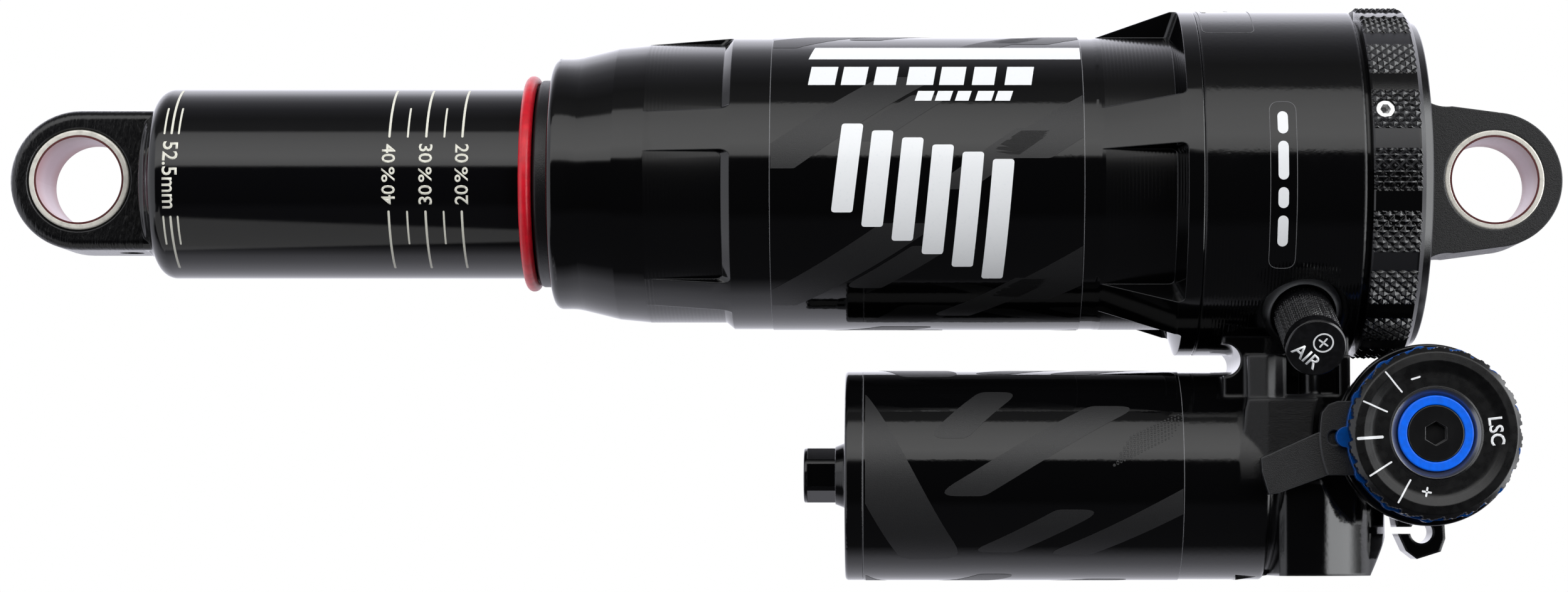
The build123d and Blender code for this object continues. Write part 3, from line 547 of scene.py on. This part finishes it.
# ---------------------------------------------------------------- mesh helpers
def new_object(name, mesh, look, body):
    """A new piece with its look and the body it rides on."""
    piece = bpy.data.objects.new(name, mesh)
    bpy.context.scene.collection.objects.link(piece)
    mesh.materials.clear()
    mesh.materials.append(look)
    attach(piece, body)
    return piece


def flat_curve(loops):
    """A filled flat mesh from closed outlines, each a list of (x, y) in metres."""
    curve = bpy.data.curves.new("outline", "CURVE")
    curve.dimensions = "2D"
    curve.fill_mode = "BOTH"
    for loop in loops:
        spline = curve.splines.new("POLY")
        spline.points.add(len(loop) - 1)
        for point, (x, y) in zip(spline.points, loop):
            point.co = (x, y, 0.0, 1.0)
        spline.use_cyclic_u = True
    return baked(curve)


def flat_text(words, height, length, bold=0.0, turn=0.0):
    """Flat lettering centred on its own middle, of a given height and length in metres."""
    text = bpy.data.curves.new("lettering", "FONT")
    text.body = words
    text.size = 1.0
    text.offset = bold
    text.resolution_u = 3
    mesh = baked(text)
    xs = [v.co.x for v in mesh.vertices]
    ys = [v.co.y for v in mesh.vertices]
    tall, wide = height / (max(ys) - min(ys)), length / (max(xs) - min(xs))
    middle = Vector(((max(xs) + min(xs)) / 2, (max(ys) + min(ys)) / 2, 0.0))
    for v in mesh.vertices:
        place = v.co - middle
        v.co = Matrix.Rotation(turn, 3, "Z") @ Vector((place.x * wide, place.y * tall, 0.0))
    return mesh


def baked(data):
    """The mesh of a curve or text, without keeping its object."""
    holder = bpy.data.objects.new("holder", data)
    bpy.context.scene.collection.objects.link(holder)
    mesh = bpy.data.meshes.new_from_object(holder.evaluated_get(bpy.context.evaluated_depsgraph_get()))
    bpy.data.objects.remove(holder)
    return mesh


def sliced(mesh, axis, pitch):
    """Cuts a flat mesh at even steps along one axis, so that it can bend."""
    bm = bmesh.new()
    bm.from_mesh(mesh)
    bmesh.ops.remove_doubles(bm, verts=bm.verts, dist=1e-7)
    values = [v.co[axis] for v in bm.verts]
    place = math.floor(min(values) / pitch) * pitch
    normal = Vector((0.0, 0.0, 0.0))
    normal[axis] = 1.0
    while place < max(values):
        at = Vector((0.0, 0.0, 0.0))
        at[axis] = place
        everything = bm.verts[:] + bm.edges[:] + bm.faces[:]
        bmesh.ops.bisect_plane(bm, geom=everything, plane_co=at, plane_no=normal)
        place += pitch
    bm.to_mesh(mesh)
    bm.free()
    return mesh


def moved(mesh, x, y, turn=0.0):
    """Turns a flat mesh about its origin, then shifts it."""
    spin = Matrix.Rotation(turn, 3, "Z")
    for v in mesh.vertices:
        v.co = spin @ v.co + Vector((x, y, 0.0))
    return mesh


def wrapped(mesh, radius, axis, lift=0.02 * MM, skin=0.03 * MM):
    """Bends a flat mesh round a line along X. Its x is X, and its y is the arc up from the front."""
    sliced(mesh, 1, 0.35 * MM)
    for v in mesh.vertices:
        angle = v.co.y / radius
        r = radius + lift
        v.co = axis + Vector((v.co.x, -r * math.cos(angle), r * math.sin(angle)))
    return thickened(mesh, lambda place: Vector((0.0, place.y - axis.y, place.z - axis.z)), skin)


def thickened(mesh, outward, skin):
    """Gives a thin sheet a closed thickness along its outward direction."""
    bm = bmesh.new()
    bm.from_mesh(mesh)
    bmesh.ops.recalc_face_normals(bm, faces=bm.faces)
    flip = [f for f in bm.faces if f.normal.dot(outward(f.calc_center_median())) < 0]
    bmesh.ops.reverse_faces(bm, faces=flip)
    starts = set(bm.verts)
    made = bmesh.ops.duplicate(bm, geom=bm.faces[:] + bm.edges[:] + bm.verts[:])
    copies = [g for g in made["geom"] if isinstance(g, bmesh.types.BMFace)]
    originals = [f for f in bm.faces if f not in set(copies)]
    pairs = made["vert_map"]
    borders = [e for f in originals for e in f.edges if len(e.link_faces) == 1]
    for source, copy in pairs.items():
        if source in starts:
            copy.co = source.co + outward(source.co).normalized() * skin
    bmesh.ops.reverse_faces(bm, faces=originals)
    for edge in borders:
        a, b = edge.verts
        bm.faces.new((a, b, pairs[b], pairs[a]))
    bmesh.ops.recalc_face_normals(bm, faces=bm.faces)
    bm.to_mesh(mesh)
    bm.free()
    return mesh


def joined(meshes):
    """One mesh from several."""
    bm = bmesh.new()
    for mesh in meshes:
        bm.from_mesh(mesh)
    out = bpy.data.meshes.new("joined")
    bm.to_mesh(out)
    bm.free()
    return out


def bar(length, thickness, x, y, turn=0.0):
    """A flat stroke with round ends, lying along its own x before it is turned."""
    half, r = length / 2, thickness / 2
    loop = []
    for side in (1, -1):
        for i in range(9):
            angle = side * math.pi / 2 - math.pi * i / 8
            loop.append((side * (half - r) + r * math.cos(angle), r * math.sin(angle)))
    return moved(flat_curve([loop]), x, y, turn)


# ---------------------------------------------------------------- laser marks on the shaft
def arc_place(clock, radius):
    """The arc length, upwards positive, of a clock angle that is counted downwards."""
    return -math.radians(clock) * radius


def shaft_line(x, clock0, clock1, thickness):
    """A line round the shaft between two clock angles."""
    low, high = arc_place(clock1, SHAFT_R), arc_place(clock0, SHAFT_R)
    return bar(high - low, thickness, x * MM, (low + high) / 2, math.pi / 2)


def shaft_word(words, x, clock, height, length, turn=-math.pi / 2):
    """Lettering on the shaft, centred at a clock angle."""
    text = flat_text(words, height * MM, length * MM, 0.012, turn)
    return moved(text, x * MM, arc_place(clock, SHAFT_R))


def travel_marks():
    """The sag scale: three numbered lines, each number given for reading from either side."""
    long_line, short_line = 0.33 * MM, 0.27 * MM
    marks = []
    for x, number in ((-152.3, "20"), (-157.6, "30"), (-163.0, "40")):
        marks.append(shaft_line(x, -72.0, -22.7, long_line))
        marks.append(shaft_line(x, 21.7, 67.2, long_line))
        marks.append(shaft_word(number, x, -12.6, 2.0, 2.9))
        marks.append(shaft_word("%", x, 0.3, 1.95, 2.25))
        marks.append(shaft_word(number, x, 12.3, 2.0, 2.85, math.pi / 2))
    for x in (-154.95, -160.3):
        marks.append(shaft_line(x, -46.0, -22.7, short_line))
        marks.append(shaft_line(x, 21.9, 44.4, short_line))
    return marks


def stroke_marks():
    """The full-travel mark: its length in words between three lines."""
    marks = [shaft_word("52.5mm", -194.95, 0.2, 2.25, 10.1)]
    for x, top, bottom, thickness in ((-194.95, -72.0, 67.0, 0.33), (-196.0, -46.0, 44.7, 0.27),
                                      (-193.9, -46.0, 44.7, 0.27)):
        marks.append(shaft_line(x, top, -25.0, thickness * MM))
        marks.append(shaft_line(x, 25.0, bottom, thickness * MM))
    return marks


def make_shaft_marks():
    """Both groups of marks, as thin closed skins on the tube."""
    for name, marks in (("travel_marks", travel_marks()), ("stroke_marks", stroke_marks())):
        mesh = wrapped(joined(marks), SHAFT_R, AXIS, 0.002 * MM, 0.016 * MM)
        new_object(name, mesh, material("laser_mark", laser_mark), "shaft")


# ---------------------------------------------------------------- prints on the can and the reservoir
def rounded(points, radius, steps=6):
    """A closed outline with its corners rounded."""
    loop = []
    for i, here in enumerate(points):
        here = Vector(here)
        before = Vector(points[i - 1])
        after = Vector(points[(i + 1) % len(points)])
        to_before, to_after = (before - here).normalized(), (after - here).normalized()
        half = math.acos(max(-1.0, min(1.0, to_before.dot(to_after)))) / 2
        reach = min(radius / math.tan(half), (before - here).length * 0.49, (after - here).length * 0.49)
        start, end = here + to_before * reach, here + to_after * reach
        for k in range(steps + 1):
            t = k / steps
            loop.append(tuple(start * (1 - t) ** 2 + here * 2 * t * (1 - t) + end * t * t))
    return loop


def slanted(x0, x1, y0, y1, lean=0.0, radius=0.0):
    """A four-sided patch; lean moves its upper edge along x. All in millimetres."""
    points = [(x0, y0), (x1, y0), (x1 + lean, y1), (x0 + lean, y1)]
    loop = rounded(points, radius) if radius else points
    return [(x * MM, y * MM) for x, y in loop]


def clipped(mesh, x0, x1):
    """Keeps the part of a flat mesh between two places along x, in millimetres."""
    bm = bmesh.new()
    bm.from_mesh(mesh)
    for place, side in ((x0, -1.0), (x1, 1.0)):
        bmesh.ops.bisect_plane(
            bm, geom=bm.verts[:] + bm.edges[:] + bm.faces[:], plane_co=(place * MM, 0.0, 0.0),
            plane_no=(side, 0.0, 0.0), clear_outer=True)
    bm.to_mesh(mesh)
    bm.free()
    return mesh


def arc_mm(clock, radius):
    """The same arc length in millimetres."""
    return arc_place(clock, radius) / MM


def can_bands():
    """Slanting satin bands, some whole and some broken, round the can's film."""
    r = FILM_R
    loops = []
    turn_length = 2 * math.pi * r / MM
    for i in range(6):
        base = -turn_length / 2 + turn_length / 6 * i
        loops.append(slanted(-112.0, -103.5, base, base + 15.0, 21.0, 0.8))
        loops.append(slanted(-97.0, -91.0, base + 4.0, base + 11.5, 10.5, 1.2))
        loops.append(slanted(-84.0, -78.0, base - 3.0, base + 6.0, 12.5, 0.8))
        loops.append(slanted(-77.0, -66.5, base + 1.5, base + 14.0, 19.0, 1.6))
    return loops


def make_can_print():
    """The can's graphics: tone-on-tone bands, a white stripe, and slanted white blocks."""
    satin = material("satin_print", satin_print(0.0165))
    white = material("white_print", white_print)
    bands = clipped(joined([flat_curve([loop]) for loop in can_bands()]), *CAN_PRINT)
    new_object("can_print_bands", wrapped(bands, FILM_R, AXIS, 0.0), satin, "head")
    top, low = arc_mm(-60.0, FILM_R), arc_mm(-50.3, FILM_R)
    marks = [clipped(flat_curve([slanted(-101.6, -55.0, low, top, 0.9)]), *CAN_PRINT)]
    for x0, x1, count, top, low in ((-101.6, -68.3, 7, -45.2, -35.0), (-86.1, -71.6, 5, -32.0, -27.4)):
        pitch = (x1 - x0) / count
        y0, y1 = arc_mm(low, FILM_R), arc_mm(top, FILM_R)
        for i in range(count):
            left = x0 + pitch * i
            right = left + pitch * (0.82 - 0.07 * (i % 3))
            marks.append(flat_curve([slanted(left, right, y0, y1, 0.5)]))
    new_object("can_print_stripe", wrapped(joined(marks), FILM_R, AXIS), white, "head")
    new_object("can_print_blocks", wrapped(block_motif(), FILM_R, AXIS), white, "head")


def block_motif():
    """A fan of six slanted white blocks of rising length."""
    top, low = arc_mm(-17.5, FILM_R), arc_mm(44.5, FILM_R)
    height = top - low
    marks = []
    for i in range(6):
        x = -98.2 + 4.35 * i
        y0 = low + height * 0.1 * (5 - i) * 0.9
        marks.append(flat_curve([slanted(x, x + 3.1, y0, top - height * 0.045 * i, 1.6, 0.5)]))
    return joined(marks)


def reservoir_bands():
    """Broad slanting satin bands with round ends on the reservoir's film."""
    turn_length = 2 * math.pi * RESERVOIR_R / MM
    loops = []
    for i in range(3):
        base = -turn_length / 2 + turn_length / 3 * i
        loops.append(slanted(-88.0, -78.5, base + 2.0, base + 30.0, -15.0, 2.4))
        loops.append(slanted(-83.5, -76.0, base + 13.0, base + 27.0, 23.0, 3.4))
        loops.append(slanted(-67.5, -60.5, base + 3.0, base + 14.5, 21.0, 1.2))
        loops.append(slanted(-78.5, -71.5, base + 3.5, base + 11.0, 13.0, 3.0))
        loops.append(slanted(-84.5, -78.5, base + 21.5, base + 30.0, 8.0, 2.4))
    return loops


def halftone(x0, y0, columns, rows, pitch):
    """A slanting patch of small round dots."""
    corners = [math.pi / 4 * k for k in range(8)]
    dots = []
    for i in range(columns):
        for j in range(rows):
            x = x0 + (i + 0.5 * (j % 2)) * pitch + j * pitch * 0.5
            y = y0 + j * pitch * 0.87 + i * pitch * 0.5
            size = pitch * (0.44 - 0.012 * i)
            dots.append([((x + size * math.cos(a)) * MM, (y + size * math.sin(a)) * MM) for a in corners])
    return dots


def make_reservoir_print():
    """The reservoir's graphics: tone-on-tone bands and a patch of dots."""
    satin = material("satin_print_dark", satin_print(0.018))
    bands = clipped(joined([flat_curve([loop]) for loop in reservoir_bands()]), *RESERVOIR_PRINT)
    mesh = wrapped(bands, RESERVOIR_R, RESERVOIR_AXIS, 0.0)
    new_object("reservoir_print_bands", mesh, satin, "head")
    dots = flat_curve(halftone(-57.2, 1.2, columns=17, rows=11, pitch=0.5))
    mesh = wrapped(clipped(dots, *RESERVOIR_PRINT), RESERVOIR_R, RESERVOIR_AXIS)
    new_object("reservoir_print_dots", mesh, satin, "head")


def label(name, x0, x1, low, high, radius, columns):
    """A clear label on the head: its thin rim, and columns of plain white dashes."""
    rim_width = 0.09
    outer = slanted(x0, x1, low, high, radius=radius)
    inner = slanted(x0 + rim_width, x1 - rim_width, low + rim_width, high - rim_width,
                    radius=radius - rim_width)
    rim = wrapped(flat_curve([outer, inner]), HEAD_R, AXIS, 0.0)
    new_object(name + "_rim", rim, material("label_rim", satin_print(0.12)), "head")
    marks = []
    for x, width, place, lengths in columns:
        for length in lengths:
            marks.append(bar(length * MM, width * MM, x * MM, (place - length / 2) * MM, math.pi / 2))
            place -= length + 0.55 * width + 0.25
    white = material("white_print", white_print)
    new_object(name + "_dashes", wrapped(joined(marks), HEAD_R, AXIS), white, "head")


def make_head_labels():
    """A narrow label on the head's front and a broad one on top."""
    low, high = arc_mm(34.0, HEAD_R), arc_mm(-21.5, HEAD_R)
    label("small_label", -35.4, -31.5, low, high, 1.6, [(-33.5, 1.5, high - 1.6, (3.4, 5.6, 3.0, 4.6))])
    low, high = arc_mm(-53.0, HEAD_R), arc_mm(-127.0, HEAD_R)
    rows = ((4.2, 2.2, 5.4, 3.0, 4.4), (3.0, 5.0, 2.2, 4.6), (5.4, 3.0, 3.6, 5.2), (2.4, 4.6))
    columns = [(-43.0 + 1.75 * i, 0.75, high - 1.2, lengths) for i, lengths in enumerate(rows)]
    label("large_label", -44.1, -36.4, low, high, 1.2, columns)


# ---------------------------------------------------------------- marks on the dial
def dial_surface():
    """The low-speed dial's mesh, ready to be hit by rays."""
    mesh = frame["nodes"]["lsc_dial"].data
    places = [v.co.copy() for v in mesh.vertices]
    return BVHTree.FromPolygons(places, [tuple(p.vertices) for p in mesh.polygons])


def laid_on_dial(mesh, surface, skin=0.04 * MM):
    """Drops a flat mesh, drawn about the dial's centre, onto the dial's dished face."""
    sliced(mesh, 0, 0.3 * MM)
    sliced(mesh, 1, 0.3 * MM)
    for v in mesh.vertices:
        start = Vector((DIAL.x + v.co.x, DIAL.y - 5 * MM, DIAL.z + v.co.y))
        hit, _, _, _ = surface.ray_cast(start, Vector((0.0, 1.0, 0.0)))
        v.co = Vector((start.x, (hit.y if hit else DIAL.y) - 0.015 * MM, start.z))
    return thickened(mesh, lambda place: Vector((0.0, -1.0, 0.0)), skin)


def polar(radius, angle):
    """Across and up in metres, from a radius in millimetres and an angle in degrees."""
    turn = math.radians(angle)
    return radius * MM * math.cos(turn), radius * MM * math.sin(turn)


def make_dial_marks():
    """Five strokes, a minus, a plus and three letters round the low-speed dial's face."""
    surface = dial_surface()
    marks = []
    for angle, thickness in ((129.5, 0.24), (156.3, 0.24), (183.9, 0.42), (212.4, 0.26), (240.5, 0.26)):
        x, y = polar(9.5, angle)
        marks.append(bar(3.9 * MM, thickness * MM, x, y, math.radians(angle)))
    x, y = polar(8.4, 110.0)
    marks.append(bar(1.45 * MM, 0.26 * MM, x, y, math.radians(17.0)))
    x, y = polar(8.5, 260.0)
    for turn in (-10.0, 80.0):
        marks.append(bar(1.45 * MM, 0.28 * MM, x, y, math.radians(turn)))
    x, y = polar(8.6, 2.0)
    marks.append(moved(flat_text("LSC", 2.05 * MM, 4.0 * MM, 0.02, math.radians(-83.0)), x, y))
    mesh = laid_on_dial(joined(marks), surface)
    new_object("dial_marks", mesh, material("white_print", white_print), "low_speed_dial")


# ---------------------------------------------------------------- knurled pieces
def knurl(u, v, pitch):
    """The height, from 0 to 1, of a diamond knurl at a place on the surface."""
    a = abs(((u + v) / pitch) % 1.0 - 0.5) * 2
    b = abs(((u - v) / pitch) % 1.0 - 0.5) * 2
    return min(min(a, b) * 1.15, 1.0)


def lathe_mesh(name, rings, count, place):
    """A closed mesh from rings of count points. place(ring, k) gives the k-th point of a ring."""
    verts = [place(ring, k) for ring in rings for k in range(count)]
    faces = []
    total = len(rings)
    for i in range(total):
        j = (i + 1) % total
        for k in range(count):
            n = (k + 1) % count
            faces.append((i * count + k, i * count + n, j * count + n, j * count + k))
    mesh = bpy.data.meshes.new(name)
    mesh.from_pydata(verts, [], faces)
    bm = bmesh.new()
    bm.from_mesh(mesh)
    bmesh.ops.recalc_face_normals(bm, faces=bm.faces)
    bm.to_mesh(mesh)
    bm.free()
    return mesh


def land_share(clock):
    """1 on a smooth land of the collar, 0 on a knurled pad, with a short slope between."""
    pitch = 360.0 / COLLAR_LANDS
    off = abs((clock - LAND_CLOCK + pitch / 2) % pitch - pitch / 2)
    return max(0.0, min(1.0, (LAND_HALF + 0.25 - off) / 0.5))


def collar_point(ring, k):
    """The k-th point of a collar ring (x, radius, knurled)."""
    x, reach, knurled = ring
    clock = 360.0 * k / COLLAR_STEPS
    if knurled:
        land = land_share(clock)
        around = math.radians(clock) * COLLAR_R / MM
        turns = 2 * math.pi * COLLAR_R / MM
        pitch = turns / round(turns / COLLAR_KNURL)
        depth = COLLAR_KNURL_DEPTH * (1.0 - knurl(around, x, pitch)) * (1.0 - land)
        reach = min(reach, COLLAR_R / MM - depth - LAND_DEPTH * land)
    angle = math.radians(clock)
    return (x * MM, -reach * MM * math.cos(angle), -reach * MM * math.sin(angle))


def make_collar():
    """The locking collar with its knurled pads, bored for its set screw."""
    left, right = COLLAR_LOW[0] / MM, COLLAR_HIGH[0] / MM
    outer = COLLAR_R / MM
    bore_r, lip_r, lip_x = 19.1, 14.6, right - 1.7
    rings = [(left, bore_r, False), (left, outer - 0.5, False)]
    steps = 56
    start, end = left + 0.25, right - 1.3
    for i in range(steps + 1):
        x = start + (end - start) * i / steps
        chamfer = 24.1 + 0.95 * (right - x)
        rings.append((x, min(outer, chamfer), True))
    for x, r in ((right - 1.15, 24.65), (right - 0.15, 24.2), (right, 24.05), (right, lip_r),
                 (lip_x, lip_r), (lip_x, bore_r)):
        rings.append((x, r, False))
    mesh = lathe_mesh("collar", rings, COLLAR_STEPS, collar_point)
    look = material("collar_black", collar_finish)
    piece = new_object("knurled_collar", mesh, look, "head")
    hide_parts("locking_collar")
    bore_for_screw(piece)


def bore_for_screw(piece):
    """Cuts the set screw's hole through the collar."""
    hole_r, hole_depth, hole_reach = 1.42, 9, 23.6
    low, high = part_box("collar_set_screw")
    middle = (Vector(low) + Vector(high)) / 2
    radial = Vector((0.0, middle.y, middle.z)).normalized()
    bm = bmesh.new()
    bmesh.ops.create_cone(
        bm, cap_ends=True, segments=48, radius1=hole_r * MM, radius2=hole_r * MM, depth=hole_depth * MM)
    turn = Vector((0.0, 0.0, 1.0)).rotation_difference(radial).to_matrix().to_4x4()
    centre = Vector((middle.x, 0.0, 0.0)) + radial * hole_reach * MM
    bmesh.ops.transform(bm, matrix=Matrix.Translation(centre) @ turn, verts=bm.verts)
    mesh = bpy.data.meshes.new("bore")
    bm.to_mesh(mesh)
    bm.free()
    cutter = bpy.data.objects.new("bore", mesh)
    bpy.context.scene.collection.objects.link(cutter)
    cut = piece.modifiers.new("bore", "BOOLEAN")
    cut.operation = "DIFFERENCE"
    cut.solver = "EXACT"
    cut.object = cutter
    shown = piece.evaluated_get(bpy.context.evaluated_depsgraph_get())
    result = bpy.data.meshes.new_from_object(shown)
    piece.modifiers.clear()
    piece.data = result
    bpy.data.objects.remove(cutter)


def valve_frame():
    """The valve cap's own axes: right and up on its end face, and out along the valve."""
    right = (Vector((1.0, 0.0, 0.0)) - VALVE_AXIS * VALVE_AXIS.x).normalized()
    up = right.cross(VALVE_AXIS)
    return right, (up if up.z > 0 else -up)


def cap_point(ring, k):
    """The k-th point of a cap ring (place along the valve, radius, knurled)."""
    s, r, knurled = ring
    right, up = valve_frame()
    angle = 2 * math.pi * k / CAP_STEPS
    reach = r
    if knurled:
        turns = 2 * math.pi * r
        pitch = turns / round(turns / CAP_KNURL)
        reach = r - CAP_KNURL_DEPTH * (1.0 - knurl(angle * r, s, pitch))
    out = right * math.cos(angle) + up * math.sin(angle)
    return VALVE_FOOT + VALVE_AXIS * (s * MM) + out * (reach * MM)


def make_valve_cap():
    """The knurled cap, with a plain rim at its end and a hollow for the valve's stem."""
    r = CAP_R / MM
    start, end = CAP_START / MM, CAP_END / MM
    knurl_end = end - 2.3
    hollow_r, hollow_end, tip_r = 3.78, 10.9, 0.02
    rings = [(start, hollow_r, False), (start, r - 0.2, False)]
    steps = 100
    for i in range(steps + 1):
        rings.append((start + 0.15 + (knurl_end - start - 0.15) * i / steps, r, True))
    rings += [(knurl_end + 0.1, r - 0.25, False), (knurl_end + 0.3, r - 0.02, False)]
    round_r = 0.4
    for i in range(5):
        angle = math.pi / 2 * i / 4
        along = end - round_r + round_r * math.sin(angle)
        rings.append((along, r - round_r + round_r * math.cos(angle), False))
    rings += [(end, tip_r, False), (hollow_end, tip_r, False), (hollow_end, hollow_r, False)]
    mesh = lathe_mesh("cap", rings, CAP_STEPS, cap_point)
    look = material("cap_black", cap_finish)
    piece = new_object("knurled_valve_cap", mesh, look, "cap")
    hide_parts("valve_cap")


def make_cap_marks():
    """A plus in a circle and the word AIR on the cap's end."""
    right, up = valve_frame()
    circle_r = 1.5 * MM
    angles = [math.tau * i / 40 for i in range(40)]
    outer = [(circle_r * math.cos(a), circle_r * math.sin(a)) for a in angles]
    inner = [(x * 0.85, y * 0.85) for x, y in outer]
    plus_x, plus_y = 0.95 * MM, 0.85 * MM
    marks = [moved(flat_curve([outer, inner]), plus_x, plus_y)]
    for turn in (-37.0, 53.0):
        marks.append(bar(1.75 * MM, 0.25 * MM, plus_x, plus_y, math.radians(turn)))
    word = flat_text("AIR", 2.0 * MM, 4.6 * MM, 0.01, math.radians(-42.0))
    marks.append(moved(word, -1.35 * MM, -1.15 * MM))
    mesh = joined(marks)
    for v in mesh.vertices:
        v.co = VALVE_FOOT + VALVE_AXIS * (CAP_END - 0.01 * MM) + right * v.co.x + up * v.co.y
    thickened(mesh, lambda place: VALVE_AXIS, 0.04 * MM)
    new_object("cap_marks", mesh, material("white_print", white_print), "cap")


# ---------------------------------------------------------------- camera, light and floor
def make_camera():
    """The photo's view: a long lens a little below the shaft's axis, tipped slightly up."""
    data = bpy.data.cameras.new("camera")
    data.sensor_width = 36.0
    data.lens = 79.06
    data.shift_x = -0.0684
    data.clip_start = 0.01
    data.clip_end = 50.0
    camera = bpy.data.objects.new("camera", data)
    camera.location = (-0.0895, -0.5145, -0.0531)
    camera.rotation_euler = (math.radians(94.03), 0.0, 0.0)
    bpy.context.scene.collection.objects.link(camera)
    bpy.context.scene.camera = camera


# The studio round X: the angle up from the horizon in front, and the brightness there.
STUDIO = (
    (-180, 0.95), (-125, 0.95), (-104, 0.72), (-94, 0.32), (-86, 0.07), (-36, 0.05), (-28, 0.012),
    (15.2, 0.012), (16.8, 1.7), (27, 2.1), (42, 1.9), (54, 1.6), (59, 1.4), (61, 0.2), (80, 0.12),
    (96, 0.22), (110, 0.45), (124, 0.9), (136, 1.7), (166, 1.7), (180, 0.95),
)


def make_world():
    """A plain white backdrop for the camera, and the studio's soft boxes for everything else."""
    world = bpy.data.worlds.new("studio")
    bpy.context.scene.world = world
    world.use_nodes = True
    net = Net(world.node_tree)
    way = net.add("ShaderNodeTexCoord").outputs["Generated"]
    split = net.add("ShaderNodeSeparateXYZ", {0: way})
    x, y, z = split.outputs
    angle = net.math("ARCTAN2", z, net.math("MULTIPLY", y, -1.0))
    ramp = net.add("ShaderNodeValToRGB", {"Fac": net.math("MULTIPLY_ADD", angle, 1 / math.tau, 0.5)})
    stops = ramp.color_ramp.elements
    while len(stops) < len(STUDIO):
        stops.new(0.5)
    for stop, (degrees, light) in zip(stops, STUDIO):
        cool = 1.0 if -30 < degrees < 90 else 1.1
        stop.position = degrees / 360.0 + 0.5
        stop.color = (light, light, light * cool, 1.0)
    front = net.step(y, 0.3, 0.05)
    tall = net.band(z, -0.55, 0.62, 0.08)
    right = net.math("MULTIPLY", net.band(x, 0.62, 0.97, 0.05), net.math("MULTIPLY", front, tall))
    left = net.math("MULTIPLY", net.step(x, -0.60, -0.72), net.math("MULTIPLY", front, tall))
    room = net.blend(right, ramp.outputs["Color"], (5.4, 5.5, 5.6))
    room = net.blend(left, room, (1.2, 1.22, 1.3))
    lit = net.add("ShaderNodeBackground", {"Color": room, "Strength": 1.0})
    white = net.add("ShaderNodeBackground", {"Color": (1.0, 1.0, 1.0), "Strength": 1.0})
    path = net.add("ShaderNodeLightPath").outputs["Is Camera Ray"]
    mix = net.add("ShaderNodeMixShader", {0: path, 1: lit.outputs[0], 2: white.outputs[0]})
    net.add("ShaderNodeOutputWorld", {"Surface": mix.outputs[0]})


def make_low_card():
    """A soft light below the shaft's end, which lights only the shaft and the travel ring."""
    light = bpy.data.lights.new("low_card", "AREA")
    light.shape = "RECTANGLE"
    light.size = 0.26
    light.size_y = 0.36
    light.energy = 0.2
    holder = bpy.data.objects.new("low_card", light)
    holder.location = (-0.33, -0.15, -0.32)
    aim = Vector((-0.17, 0.0, 0.0)) - holder.location
    holder.rotation_euler = aim.to_track_quat("-Z", "Y").to_euler()
    bpy.context.scene.collection.objects.link(holder)
    holder.visible_camera = False
    lit = bpy.data.collections.new("lit_by_low_card")
    for node in ("air_shaft", "sag_ring"):
        lit.objects.link(frame["nodes"][node])
    holder.light_linking.receiver_collection = lit


def make_floor():
    """A pale disc well below the object, seen only from above."""
    bm = bmesh.new()
    bmesh.ops.create_circle(bm, cap_ends=True, segments=96, radius=3.0)
    mesh = bpy.data.meshes.new("floor")
    bm.to_mesh(mesh)
    bm.free()
    floor = bpy.data.objects.new("floor", mesh)
    floor.location = (-0.09, 0.0, -0.16)
    bpy.context.scene.collection.objects.link(floor)

    def paint(net):
        place = net.add("ShaderNodeTexCoord").outputs["Object"]
        grain = net.noise(place, 40.0, 4.0)
        return principled(net, net.blend(grain, (0.86, 0.86, 0.86), (0.9, 0.9, 0.9)), 0.7)
    mesh.materials.append(material("floor", paint))
    floor.visible_glossy = False
    floor.visible_diffuse = False


make_camera()
make_world()
make_low_card()
make_floor()
dress_cad()
make_shaft_marks()
make_can_print()
make_reservoir_print()
make_head_labels()
make_dial_marks()
make_collar()
make_valve_cap()
make_cap_marks()
bpy.context.scene.view_settings.view_transform = "Standard"
